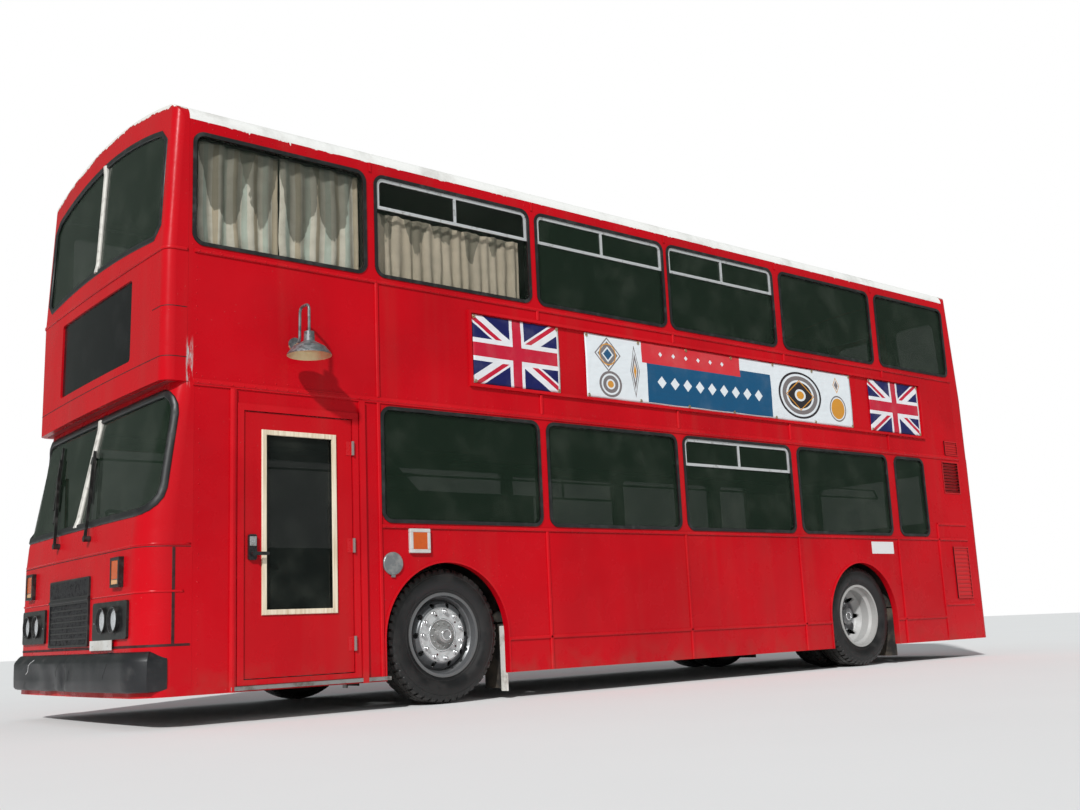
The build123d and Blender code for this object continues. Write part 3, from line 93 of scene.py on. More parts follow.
# %% [markdown]
# ## Light
# The sun stands ahead of the bus and to the door side, so the front is brighter than the side, and
# the sky fills in the shadows. Together they light a white card to about white, so each colour renders
# about as it is written. By Light Path the camera sees plain white behind the bus, while glass and
# gloss see a dimmer, greener sky.

# %% Light
def sun_lamp(name, strength, size, aim):
    """A soft sun that shines along aim."""
    data = bpy.data.lights.new(name, "SUN")
    data.energy, data.angle = strength, size
    lamp = bpy.data.objects.new(name, data)
    lamp.rotation_euler = Vector(aim).to_track_quat("-Z", "Y").to_euler()
    bpy.context.scene.collection.objects.link(lamp)


def linked(kind, *sources):
    """A node of the sky, with its inputs linked to sources in their order."""
    node = sky_nodes.new(kind)
    for socket, source in zip(list(node.inputs), sources):
        sky_links.new(source, socket)
    return node


sun_lamp("key", 3.3, math.radians(2.5), (-1.35, -1.0, -1.15))
sun_lamp("fill", 0.25, math.radians(60), (-0.3, -1.0, -0.2))
world = bpy.data.worlds.new("sky")
world.use_nodes = True
bpy.context.scene.world = world
sky_nodes, sky_links = world.node_tree.nodes, world.node_tree.links
seen = sky_nodes.new("ShaderNodeLightPath").outputs
shiny_ray = linked("ShaderNodeMath", seen["Is Glossy Ray"], seen["Is Transmission Ray"])
shiny_ray.operation = "MAXIMUM"
skies = [sky_nodes["Background"], *(sky_nodes.new("ShaderNodeBackground") for _ in range(2))]
sky_colours = ((0.90, 0.95, 1.0), (0.80, 0.90, 0.82), (1, 1, 1))
for node, colour, strength in zip(skies, sky_colours, (0.40, 0.22, 1.0)):
    node.inputs["Color"].default_value = (*colour, 1)
    node.inputs["Strength"].default_value = strength
daylight, in_shine, backdrop = (node.outputs[0] for node in skies)
for_shine = linked("ShaderNodeMixShader", shiny_ray.outputs[0], daylight, in_shine)
for_camera = linked("ShaderNodeMixShader", seen["Is Camera Ray"], for_shine.outputs[0], backdrop)
sky_links.new(for_camera.outputs[0], sky_nodes["World Output"].inputs["Surface"])
bpy.context.scene.view_settings.view_transform = "Standard"

# %% [markdown]
# ## Finishes
# A finish here is a small set of nodes round one Principled shader. Every pattern reads Object
# coordinates, which are metres of the bus itself, so a noise scale of 2 means patches about half a
# metre long. A Signal stands for the output of a node, so patterns are written as sums, products and
# comparisons, and a product of two masks is the place where both hold.

# %% A helper for finishes
finishes = {}


def math_node(operation, flipped=False):
    """An operator of Signal that makes a Math node."""
    def operator(self, other=0.0):
        return self.finish.calc(operation, *((other, self) if flipped else (self, other)))
    return operator


class Signal:
    """An output of a finish's nodes, so that patterns add, multiply and compare like numbers."""

    __add__ = __radd__ = math_node("ADD")
    __mul__ = __rmul__ = math_node("MULTIPLY")
    __sub__, __rsub__ = math_node("SUBTRACT"), math_node("SUBTRACT", flipped=True)
    __truediv__, __mod__ = math_node("DIVIDE"), math_node("MODULO")
    __gt__, __lt__, __or__ = math_node("GREATER_THAN"), math_node("LESS_THAN"), math_node("MAXIMUM")
    __abs__, root, sign, fraction = (math_node(name) for name in ("ABSOLUTE", "SQRT", "SIGN", "FRACT"))

    def __init__(self, finish, socket):
        self.finish, self.socket = finish, socket

    def between(self, low, high):
        """1 between low and high, and 0 elsewhere."""
        return (self > low) * (self < high)

    def window(self, low, high, to_low=0.0, to_high=1.0):
        """Stretch low..high to to_low..to_high, held at the ends."""
        node = self.finish.nodes.new("ShaderNodeMapRange")
        node.interpolation_type = "SMOOTHSTEP"
        for socket, value in zip(list(node.inputs), (self, low, high, to_low, to_high)):
            self.finish.feed(socket, value)
        return Signal(self.finish, node.outputs[0])


class Finish:
    """One material with its nodes, ready for patterns."""

    def __init__(self, name, colour, rough, metal=0.0):
        self.material = finishes[name] = bpy.data.materials.new(name)
        self.material.use_nodes = True
        self.material.diffuse_color = (*colour, 1)
        self.nodes, self.links = self.material.node_tree.nodes, self.material.node_tree.links
        self.shader = self.nodes["Principled BSDF"]
        self.set(Base_Color=colour, Roughness=rough, Metallic=metal)
        self.place = Signal(self, self.nodes.new("ShaderNodeTexCoord").outputs["Object"])

    def feed(self, socket, value):
        """Link a socket, or set it to a number or a colour."""
        if isinstance(value, Signal):
            self.links.new(value.socket, socket)
        else:
            socket.default_value = (*value, 1) if socket.type == "RGBA" else value

    def set(self, **values):
        """Set or link sockets of the shader; an underscore stands for a space."""
        for name, value in values.items():
            self.feed(self.shader.inputs[name.replace("_", " ")], value)

    def add(self, kind, output, **inputs):
        """A node with some inputs fed, and the output asked for."""
        node = self.nodes.new("ShaderNode" + kind)
        for name, value in inputs.items():
            self.feed(node.inputs[name], value)
        return Signal(self, node.outputs[output])

    def calc(self, operation, a, b=0.0, clamp=False):
        """A Math node."""
        node = self.nodes.new("ShaderNodeMath")
        node.operation, node.use_clamp = operation, clamp
        self.feed(node.inputs[0], a)
        self.feed(node.inputs[1], b)
        return Signal(self, node.outputs[0])

    def grain(self, scale, detail=3.0, rough=0.55, along=None):
        """A Noise texture, from 0 to 1, stretched by three scales if given."""
        where = self.add("Mapping", "Vector", Vector=self.place, Scale=along) if along else self.place
        return self.add("TexNoise", "Fac", Scale=scale, Detail=detail, Roughness=rough, Vector=where)

    def cells(self, scale, output="Distance"):
        """A Voronoi texture's distance or colour."""
        return self.add("TexVoronoi", output, Scale=scale, Vector=self.place)

    def ribs(self, way, scale):
        """A Wave texture's bands across one axis."""
        bands = self.add("TexWave", "Fac", Scale=scale, Vector=self.place)
        bands.socket.node.bands_direction = way
        return bands

    def axis(self, letter, vector=None):
        """One coordinate."""
        return self.add("SeparateXYZ", letter, Vector=vector or self.place)

    def facing(self, letter):
        """One coordinate of the way a face looks."""
        return self.axis(letter, self.add("NewGeometry", "Normal"))

    def blend(self, amount, first, second):
        """A colour between first and second."""
        node = self.nodes.new("ShaderNodeMix")
        node.data_type = "RGBA"
        for index, value in ((0, amount), (6, first), (7, second)):
            self.feed(node.inputs[index], value)
        return Signal(self, node.outputs[2])

    def relief(self, height, strength, depth, under=None):
        """A Bump node on the shader's normal, over another one if given."""
        bump = self.add("Bump", 0, Strength=strength, Distance=depth, Height=height)
        if under:
            self.feed(bump.socket.node.inputs["Normal"], under)
        self.set(Normal=bump)
        return bump


print("finish helper ready")

# %% [markdown]
# ### Red coach paint
# The red is brushed and sprayed over sheet metal that has been knocked about for decades. Long
# slow bumps make the reflections swim as they do on real panels, fine noise gives the orange peel,
# and dust gathers near the ground and in streaks below the mouldings.

# %% Where the red stops
roof_edge_z, gutter_z = 4.158, 3.938


def peeling(paint, colour, lining):
    """Ragged white under the roof's edge, and bare metal worn through at the front corner's joint."""
    y, z = paint.axis("Y"), paint.axis("Z")
    rough_edge = paint.grain(9.0, 6, 0.75).window(0.3, 0.7, -0.010, 0.016)
    if lining == "ends":
        edge = z + y * y * 0.1 + rough_edge
        colour = paint.blend(edge.window(4.142, roof_edge_z) * 0.5, colour, (0.28, 0.03, 0.02))
    else:
        edge = z + rough_edge + paint.grain(16.0, 2, along=(1, 1, 0.08)).window(0.62, 0.74, 0.0, 0.025)
    white = edge > (roof_edge_z if lining == "ends" else gutter_z)
    colour = paint.blend(white, colour, (0.72, 0.70, 0.66))
    at_joint = abs(paint.axis("X") - 4.385).window(0.030, 0.012)
    height = abs(z - 2.26).window(0.20, 0.06)
    worn = paint.grain(38.0, 4, 0.7, along=(1, 1, 0.12)).window(0.50, 0.60)
    return paint.blend(at_joint * height * worn, colour, (0.42, 0.41, 0.40))


def black_reveals(paint, colour, lining):
    """Near-black on the edges of the window openings."""
    x, y, z = (paint.axis(letter) for letter in "XYZ")
    if lining == "side":
        edge = abs(paint.facing("Y")) < 0.5
        place = ((z > 2.40) | (x < 3.05) * (z > 1.26)) * (z < 3.90)
    else:
        edge = abs(paint.facing("X")) < 0.5
        place = (abs(y) < 1.155) * ((z > 3.00) * (z < 4.02) | (z > 1.25) * (z < 2.12))
    return paint.blend(edge * place, colour, (0.010, 0.010, 0.010))

# %% Red coach paint
def red_paint(name, fresh, faded, lining=None, dents=0.35):
    """Gloss red with patches, streaks, road dust, chips and dents. lining says which way inside is."""
    paint = Finish(name, fresh, 0.28)
    streaks = paint.grain(5.0, 3, along=(1, 1, 0.06)).window(0.5, 0.78)
    dust = paint.axis("Z").window(0.42, 0.17) * paint.grain(7.0, 5).window(0.38, 0.7)
    chips = paint.cells(26.0).window(0.065, 0.03) * paint.grain(2.2, 2).window(0.5, 0.66)
    colour = paint.blend(paint.grain(0.9, 4).window(0.35, 0.7), fresh, faded)
    for mask, share, tint in ((streaks, 0.16, (0.30, 0.05, 0.04)), (dust, 0.30, (0.22, 0.07, 0.05)),
                              (chips, 0.5, (0.62, 0.30, 0.26))):
        colour = paint.blend(mask * share, colour, tint)
    if lining:
        inside = paint.facing("Y") * paint.axis("Y") < -0.8
        if lining == "ends":
            inside = inside | (paint.facing("X") * paint.axis("X") < -3.2)
        colour = black_reveals(paint, paint.blend(inside, colour, (0.10, 0.095, 0.085)), lining)
    colour = peeling(paint, colour, lining)
    rough = paint.calc("ADD", paint.grain(3.0, 4).window(0.3, 0.75, 0.20, 0.36), dust * 0.35, clamp=True)
    swell = paint.relief(paint.grain(1.7, 1.5, 0.4), dents, 0.03)
    paint.relief(paint.grain(240.0, 2), 0.035, 0.002, under=swell)
    paint.set(Base_Color=colour, Roughness=rough, Specular_IOR_Level=0.17)


fresh_red, faded_red = (0.50, 0.002, 0.008), (0.41, 0.002, 0.007)
red_paint("red_on_sides", fresh_red, faded_red, lining="side")
red_paint("red_on_ends", fresh_red, (0.44, 0.005, 0.010), lining="ends", dents=0.5)
red_paint("red_on_trim", (0.54, 0.006, 0.012), faded_red, dents=0.1)
red_paint("red_on_door", (0.48, 0.004, 0.009), (0.42, 0.003, 0.008), dents=0.18)
# Painted shade on the louvres: slat faces that don't look sideways are painted near-black.
slat_red, slat_painted_shade = (0.50, 0.006, 0.010), (0.035, 0.004, 0.004)
slatted = Finish("red_on_louvres", slat_red, 0.35)
slatted.set(Base_Color=slatted.blend(abs(slatted.facing("Y")) < 0.75, slat_red, slat_painted_shade))
print("reds", [name for name in finishes if name.startswith("red")])

# %% [markdown]
# ### Roof, rubber and bright metal
# The roof's white paint has chalked and carries green-black rain marks. The window rubber is nearly
# black with a grey bloom. The vent frames are extruded aluminium, dulled to a soft grey, and the wall
# lamp is galvanised, so it shows the large crystals of cooled zinc.

# %% Roof white
roof = Finish("roof_white", (0.74, 0.74, 0.71), 0.6)
marks = roof.grain(2.6, 6, 0.65).window(0.48, 0.72)
runs = roof.grain(4.0, 4, along=(1, 0.15, 0.4)).window(0.5, 0.75)
roof_colour = roof.blend(marks * 0.45, (0.76, 0.76, 0.73), (0.36, 0.34, 0.30))
roof_colour = roof.blend(runs * 0.30, roof_colour, (0.30, 0.31, 0.27))
# Painted shade: faces of the roof that look downward are painted dark grey.
roof_colour = roof.blend(roof.facing("Z") < -0.3, roof_colour, (0.22, 0.21, 0.19))
roof.relief(roof.grain(30.0, 4), 0.25, 0.003)
roof.set(Base_Color=roof_colour)

# %% Window rubber
rubber = Finish("window_rubber", (0.018, 0.018, 0.018), 0.5)
bloom = rubber.grain(14.0, 4).window(0.45, 0.8)
rubber.relief(rubber.grain(160.0, 3), 0.15, 0.001)
rubber.set(Base_Color=rubber.blend(bloom, (0.010, 0.010, 0.011), (0.030, 0.031, 0.030)),
           Roughness=bloom.window(0.0, 1.0, 0.42, 0.7))

# %% Dull aluminium
metal = Finish("dull_aluminium", (0.72, 0.73, 0.74), 0.4, 0.6)
drawn = metal.grain(60.0, 3, along=(0.06, 1, 1))
spots = metal.grain(22.0, 5).window(0.55, 0.75)
metal.relief(drawn, 0.08, 0.001)
metal.set(Base_Color=metal.blend(spots, (0.76, 0.77, 0.78), (0.46, 0.46, 0.45)),
          Roughness=drawn.window(0.2, 0.8, 0.30, 0.52))

# %% Galvanised lamp
zinc = Finish("galvanised_lamp", (0.30, 0.32, 0.33), 0.45, 0.55)
tone = zinc.axis("X", zinc.cells(55.0, "Color")).window(0.0, 1.0)
under_shade = (zinc.facing("Z") < -0.25) * (zinc.axis("Z") < 2.47)
zinc_colour = zinc.blend(tone, (0.13, 0.14, 0.145), (0.22, 0.23, 0.235))
zinc.relief(zinc.grain(40.0, 3), 0.1, 0.001)
zinc.set(Base_Color=zinc.blend(under_shade, zinc_colour, (0.62, 0.52, 0.30)),
         Roughness=tone.window(0.0, 1.0, 0.35, 0.55))
print("roof, rubber and metals ready")

# %% [markdown]
# ### Glass and lamps
# Coach glass is a little green and throws back the sky. Here it is a dark tint with a partly open
# alpha, so the light gets in, the curtains show, and the strong gloss still reads as glass. Amber
# lenses are pressed in fine ribs, which a wave texture gives as relief.

# %% Glass
def tinted_glass(name, tint, see_through, waves):
    """Tinted glass with a slight waviness and a film of dust, more open in front of the curtains."""
    pane = Finish(name, tint, 0.03)
    x, y, z = (pane.axis(letter) for letter in "XYZ")
    film = pane.grain(3.5, 5).window(0.42, 0.8)
    pane.relief(pane.grain(2.2, 1.0), waves, 0.01)
    by_curtains = x.window(1.40, 1.45) * z.window(2.9, 3.0) * ((y > 0.0) * (x < 4.36))
    dark = (1.0 - see_through) - by_curtains * (0.86 - see_through)
    pane.set(Base_Color=pane.blend(film * 0.10, tint, (0.20, 0.22, 0.18)),
             Roughness=film.window(0.0, 1.0, 0.015, 0.07), Specular_IOR_Level=0.42,
             Alpha=pane.calc("ADD", dark, film * 0.04, clamp=True))


tinted_glass("side_glass", (0.008, 0.018, 0.010), 0.36, 0.10)
tinted_glass("door_pane", (0.006, 0.008, 0.007), 0.30, 0.05)

# %% Lamp glass
clear = Finish("lamp_clear", (0.80, 0.83, 0.85), 0.08)
clear.relief(clear.ribs("Y", 42.0), 0.5, 0.002)
clear.set(Base_Color=clear.blend(clear.grain(30.0), (0.88, 0.90, 0.92), (0.72, 0.74, 0.74)), Alpha=0.50)

# %% Amber and red lenses in pale frames
lens = Finish("lamp_amber", (0.80, 0.20, 0.02), 0.18)
lens.relief(lens.ribs("Z", 38.0), 0.35, 0.002)
lens_x, lens_z = lens.axis("X"), lens.axis("Z")
lens_colour = lens.blend(lens.grain(35.0), (0.64, 0.11, 0.006), (0.42, 0.060, 0.006))
lens_colour = lens.blend((lens_x > 4.0) * (lens_z < 0.915), lens_colour, (0.66, 0.36, 0.16))
tail_colour = lens.blend(lens_z > 0.87, (0.30, 0.004, 0.004), (0.60, 0.12, 0.008))
lens.set(Base_Color=lens.blend(lens_x < -4.0, lens_colour, tail_colour), Coat_Weight=0.4)
print("glass and lamps ready")

# %% [markdown]
# ### Rubber, iron and plastic underneath
# Most of these are one base colour, one dirt colour and one noise, at its own scale. Tyre rubber is
# nearly black, and dusty on the tread. The wheels are silver in front and pale grey behind, in rings
# by their distance from the axle. The chassis is black paint under a layer of road dirt.

# %% A finish of two tones and a relief
def two_tone(name, base, dirt, rough, scale=9.0, metal=0.0, dirty=(0.45, 0.7), relief=(120.0, 0.2, 0.001),
             **other):
    """A base colour with patches of dirt, a rough range and a fine relief."""
    coat = Finish(name, base, rough[0], metal)
    patch = coat.grain(scale, 5, 0.6).window(*dirty)
    coat.relief(coat.grain(relief[0], 4), *relief[1:])
    coat.set(Base_Color=coat.blend(patch, base, dirt), Roughness=patch.window(0.0, 1.0, *rough), **other)


two_tone("bumper_grey", (0.011, 0.012, 0.014), (0.042, 0.042, 0.042), (0.42, 0.7), 8.0,
         dirty=(0.5, 0.8), relief=(90.0, 0.3, 0.002))
two_tone("grille_black", (0.009, 0.009, 0.010), (0.035, 0.034, 0.03), (0.45, 0.7), 16.0)
two_tone("screen_black", (0.006, 0.006, 0.007), (0.012, 0.012, 0.013), (0.10, 0.25), 4.0,
         relief=(3.0, 0.05, 0.01), Specular_IOR_Level=0.14)
two_tone("satin_black", (0.009, 0.009, 0.009), (0.03, 0.029, 0.027), (0.3, 0.55), 18.0)
two_tone("road_black", (0.020, 0.019, 0.018), (0.085, 0.068, 0.05), (0.6, 0.9), 5.0,
         relief=(45.0, 0.4, 0.003))
two_tone("axle_iron", (0.035, 0.033, 0.031), (0.10, 0.07, 0.045), (0.6, 0.9), 12.0, 0.2,
         relief=(70.0, 0.5, 0.003))
two_tone("engine_iron", (0.055, 0.056, 0.058), (0.02, 0.017, 0.014), (0.4, 0.75), 7.0, 0.3,
         relief=(40.0, 0.5, 0.004))
two_tone("bellows_rubber", (0.02, 0.02, 0.02), (0.07, 0.06, 0.05), (0.6, 0.85), 12.0)
two_tone("dash_black", (0.030, 0.030, 0.032), (0.055, 0.055, 0.055), (0.5, 0.7), 10.0,
         relief=(300.0, 0.5, 0.001))
two_tone("tread_plate", (0.34, 0.34, 0.33), (0.16, 0.14, 0.12), (0.35, 0.65), 11.0, 0.7)
two_tone("stair_grey", (0.22, 0.22, 0.22), (0.13, 0.125, 0.12), (0.4, 0.65), 8.0)
two_tone("cap_grey", (0.20, 0.21, 0.215), (0.30, 0.30, 0.29), (0.35, 0.6), 25.0, 0.4)
two_tone("flap_white", (0.62, 0.60, 0.56), (0.30, 0.27, 0.23), (0.5, 0.8), 10.0)
two_tone("plate_white", (0.56, 0.56, 0.54), (0.40, 0.38, 0.34), (0.4, 0.7), 5.0, dirty=(0.45, 0.8))
two_tone("pillar_white", (0.60, 0.58, 0.53), (0.34, 0.32, 0.29), (0.35, 0.6), 20.0)
two_tone("label_white", (0.66, 0.66, 0.66), (0.58, 0.57, 0.55), (0.35, 0.5), 3.0)
two_tone("seam_dark", (0.045, 0.004, 0.005), (0.020, 0.004, 0.004), (0.6, 0.9), 20.0)
two_tone("seam_black", (0.008, 0.008, 0.009), (0.014, 0.014, 0.014), (0.5, 0.7), 6.0)
two_tone("mesh_dark", (0.10, 0.10, 0.105), (0.03, 0.03, 0.03), (0.35, 0.6), 30.0, 0.5)
two_tone("wire_bright", (0.55, 0.56, 0.57), (0.22, 0.22, 0.21), (0.3, 0.55), 60.0, 0.7)
two_tone("nut_steel", (0.66, 0.67, 0.68), (0.30, 0.29, 0.27), (0.2, 0.45), 45.0, 0.75, dirty=(0.5, 0.75))
two_tone("chrome", (0.90, 0.91, 0.92), (0.70, 0.71, 0.72), (0.12, 0.25), 12.0, 0.85,
         relief=(70.0, 0.1, 0.001))
two_tone("brass", (0.50, 0.40, 0.20), (0.30, 0.25, 0.16), (0.3, 0.5), 60.0, 0.8)
two_tone("moquette", (0.022, 0.030, 0.065), (0.05, 0.03, 0.06), (0.85, 0.95), 90.0,
         relief=(500.0, 0.6, 0.002))

# %% Door fittings and floors, whose colour depends on the place
lock_colour = (0.015, 0.015, 0.016)
fitting = Finish("lock_black", lock_colour, 0.28)
on_hinges = fitting.axis("X") < 3.5
on_knuckles = on_hinges * (fitting.axis("Y") > 1.262)
hinge_colour = fitting.blend(on_knuckles, (0.50, 0.004, 0.009), (0.20, 0.16, 0.15))
fitting.set(Base_Color=fitting.blend(on_hinges, lock_colour, hinge_colour),
            Roughness=fitting.grain(60.0).window(0.3, 0.7, 0.22, 0.42))
lino_grey = (0.075, 0.075, 0.078)
lino = Finish("floor_covering", lino_grey, 0.6)
# The soffit under the upper deck at the front, where floor faces look down, is red paint made darker as
# painted shade.
soffit_in_front = (lino.facing("Z") < -0.5) * (lino.axis("X") > 4.30)
lino_tone = lino.blend(lino.grain(4.0, 5).window(0.45, 0.7), lino_grey, (0.12, 0.115, 0.105))
lino.set(Base_Color=lino.blend(soffit_in_front, lino_tone, (0.30, 0.006, 0.010)))

# %% Cream timber round the door glass
timber = Finish("cream_timber", (0.72, 0.62, 0.47), 0.5)
fibre = timber.grain(50.0, 4, along=(1, 1, 0.05))
timber.relief(fibre, 0.2, 0.001)
timber.set(Base_Color=timber.blend(fibre.window(0.35, 0.75), (0.76, 0.67, 0.52), (0.55, 0.44, 0.30)))

# %% Tyres and wheels, with dirt by distance from the axle
front_axle_x, rear_axle_x, axle_z = 2.427, -2.526, 0.485


def wheel_finish(name, axle_x, metal, rings, rough, grain_scale):
    """A finish whose colour follows rings of (radius, colour) about an axle."""
    coat = Finish(name, rings[0][1], rough[0], metal)
    along, up = coat.axis("X") - axle_x, coat.axis("Z") - axle_z
    away = (along * along + up * up).root()
    colour = rings[0][1]
    for (inner, _), (outer, tint) in zip(rings, rings[1:]):
        colour = coat.blend(away.window(inner, outer), colour, tint)
    patch = coat.grain(grain_scale, 5, 0.6).window(0.42, 0.72)
    coat.relief(coat.grain(110.0, 3), 0.25, 0.001)
    coat.set(Base_Color=coat.blend(patch * 0.45, colour, rings[-1][1]),
             Roughness=patch.window(0.0, 1.0, *rough))


tyre_rings = [(0.28, (0.010, 0.010, 0.010)), (0.34, (0.005, 0.005, 0.006)), (0.45, (0.006, 0.006, 0.006)),
              (0.487, (0.026, 0.024, 0.022))]
silver_rings = [(0.0, (0.34, 0.34, 0.34)), (0.10, (0.30, 0.30, 0.29)), (0.125, (0.62, 0.63, 0.63)),
                (0.186, (0.64, 0.65, 0.65)), (0.200, (0.10, 0.105, 0.11)), (0.262, (0.085, 0.088, 0.09)),
                (0.276, (0.17, 0.175, 0.18)), (0.30, (0.15, 0.15, 0.15))]
grey_rings = [(0.0, (0.10, 0.10, 0.10)), (0.17, (0.13, 0.13, 0.135)), (0.215, (0.14, 0.14, 0.145)),
              (0.225, (0.44, 0.44, 0.43)), (0.30, (0.36, 0.355, 0.34))]
wheel_finish("front_tyre", front_axle_x, 0.0, tyre_rings, (0.42, 0.75), 9.0)
wheel_finish("rear_tyre", rear_axle_x, 0.0, tyre_rings, (0.42, 0.75), 9.0)
wheel_finish("wheel_silver", front_axle_x, 0.45, silver_rings, (0.32, 0.6), 24.0)
wheel_finish("wheel_grey", rear_axle_x, 0.1, grey_rings, (0.4, 0.7), 20.0)
print("finishes so far", len(finishes))

# %% [markdown]
# ## Dress the CAD nodes
# Each CAD node keeps its shape and takes a finish. The table reads like a paint shop's job sheet.

# %% Paint the nodes
job_sheet = {
    "red_on_sides": "upper_side_walls lower_side_walls skirt_panels arch_panels door_surround",
    "red_on_ends": "front_upper front_lower rear_upper rear_lower",
    "red_on_trim": "door_frame engine_cover rear_exit_door side_mouldings banner_frame",
    "red_on_door": "entrance_door", "red_on_louvres": "side_louvres", "roof_white": "roof",
    "window_rubber": "window_rubbers", "dull_aluminium": "hopper_frames",
    "side_glass": "window_glass rear_exit_glass", "door_pane": "door_glass",
    "cream_timber": "door_glass_bead", "lock_black": "door_hardware",
    "screen_black": "destination_screen", "grille_black": "front_grille",
    "satin_black": "headlamp_units windscreen_wipers", "lamp_clear": "headlamp_lenses",
    "lamp_amber": "signal_lamps", "bumper_grey": "front_bumper", "galvanised_lamp": "wall_lamp",
    "cap_grey": "filler_cap", "floor_covering": "lower_floor upper_floor",
    "road_black": "wheel_boxes engine_bulkhead chassis_frame cross_members",
    "tread_plate": "entrance_steps", "stair_grey": "staircase",
    "axle_iron": "front_axle rear_axle front_left_knuckle front_right_knuckle",
    "bellows_rubber": "air_springs", "engine_iron": "engine_block", "dash_black": "cab_dash",
    "moquette": "driver_seat", "wheel_silver": "front_left_rim front_right_rim",
    "wheel_grey": "rear_left_rims rear_right_rims", "front_tyre": "front_left_tyre front_right_tyre",
    "rear_tyre": "rear_left_tyres rear_right_tyres", "plate_white": "banner_cloths curtains",
}
painted = set()
for finish, nodes in job_sheet.items():
    for node in nodes.split():
        slots = cad_nodes[node].data.materials
        slots.clear()
        slots.append(finishes[finish])
        painted.add(node)
print("painted", len(painted), "left", sorted(set(cad_nodes) - painted))

# %% [markdown]
# ## Making pieces
# A new piece is a mesh whose points already lie where they belong, so its object stays at the
# origin. It rides on the CAD body that carries the real thing. A sweep carries a small section along
# points, and a spun piece turns a short profile round an axle.

# %% Piece helpers
def new_piece(name, points, faces, finish, body, smooth=False):
    """A finished mesh piece that rides on a body."""
    mesh = bpy.data.meshes.new(name)
    mesh.from_pydata([tuple(p) for p in points], [], faces)
    mesh.validate()
    mesh.materials.append(finishes[finish])
    if smooth:
        mesh.shade_smooth()
    piece = bpy.data.objects.new(name, mesh)
    bpy.context.scene.collection.objects.link(piece)
    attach(piece, body)
    return piece


def block(low, high):
    """Points and faces of a box between two corners, for one more part of a piece."""
    (x0, y0, z0), (x1, y1, z1) = low, high
    points = [(x, y, z) for z in (z0, z1) for x, y in ((x0, y0), (x1, y0), (x1, y1), (x0, y1))]
    faces = [(0, 3, 2, 1), (4, 5, 6, 7), (0, 1, 5, 4), (1, 2, 6, 5), (2, 3, 7, 6), (3, 0, 4, 7)]
    return points, faces


def several(parts):
    """Join lists of points and faces into one."""
    points, faces = [], []
    for part_points, part_faces in parts:
        start = len(points)
        points += list(part_points)
        faces += [tuple(start + i for i in face) for face in part_faces]
    return points, faces


def boxes(name, corners, finish, body, edge=None):
    """A piece made of blocks, with its edges rounded if a width is given."""
    piece = new_piece(name, *several([block(low, high) for low, high in corners]), finish, body)
    if edge:
        bevel = piece.modifiers.new("edge", "BEVEL")
        bevel.width, bevel.segments, bevel.limit_method = edge, 2, "ANGLE"


print("piece helpers ready")

# %% Swept and spun shapes
def between_rings(count, sides, closed):
    """Faces between count rings of points, with a cap at each end unless the last meets the first."""
    faces = []
    for i in range(count if closed else count - 1):
        j = (i + 1) % count
        faces += [(i * sides + k, i * sides + (k + 1) % sides, j * sides + (k + 1) % sides, j * sides + k)
                  for k in range(sides)]
    if not closed:
        faces += [tuple(reversed(range(sides))), tuple(range((count - 1) * sides, count * sides))]
    return faces


def circle(radius, count):
    """Points round a circle."""
    turns = [2 * math.pi * i / count for i in range(count)]
    return [(radius * math.cos(turn), radius * math.sin(turn)) for turn in turns]


def spun(rows, sides, centre=(0, 0, 0), sign=0, closed=False):
    """A profile of (radius, height) rows turned round +Z, or round the axle line of one side.

    closed joins its last row to its first, for a ring such as a washer.
    """
    points = []
    for radius, height in rows:
        for a, b in circle(radius, sides):
            place = (a, b, height) if sign == 0 else (a, sign * height, b)
            points.append(tuple(c + p for c, p in zip(centre, place)))
    return points, between_rings(len(rows), sides, closed)


def sweep(spots, section, closed=False):
    """A section carried along points. Its rows are: distance across, distance out."""
    points = []
    for i, (spot, facing) in enumerate(spots):
        before = spots[i - 1][0] if closed or i else spot
        after = spots[(i + 1) % len(spots)][0] if closed or i + 1 < len(spots) else spot
        along = (after - before).normalized()
        sideways = facing.cross(along).normalized()
        outward = along.cross(sideways)
        points += [spot + sideways * a + outward * b for a, b in section]
    return points, between_rings(len(spots), len(section), closed)


def bar(width, low, high):
    """A section that is a plain bar with its top edges eased."""
    ease, half = min(width, high - low) * 0.25, width / 2
    return [(-half, low), (half, low), (half, high - ease), (half - ease, high), (ease - half, high),
            (-half, high - ease)]


print("swept and spun shapes ready")

# %% [markdown]
# ## Things that repeat along a line
# Rivets, nuts, bolts and plugs repeat along a path. One Geometry Nodes tree does them all: it walks a
# path in equal steps, sets a stamp on each step, turns each a little at random from a fixed seed, and
# makes the result real. The path is a curve, and the stamp is a small mesh.

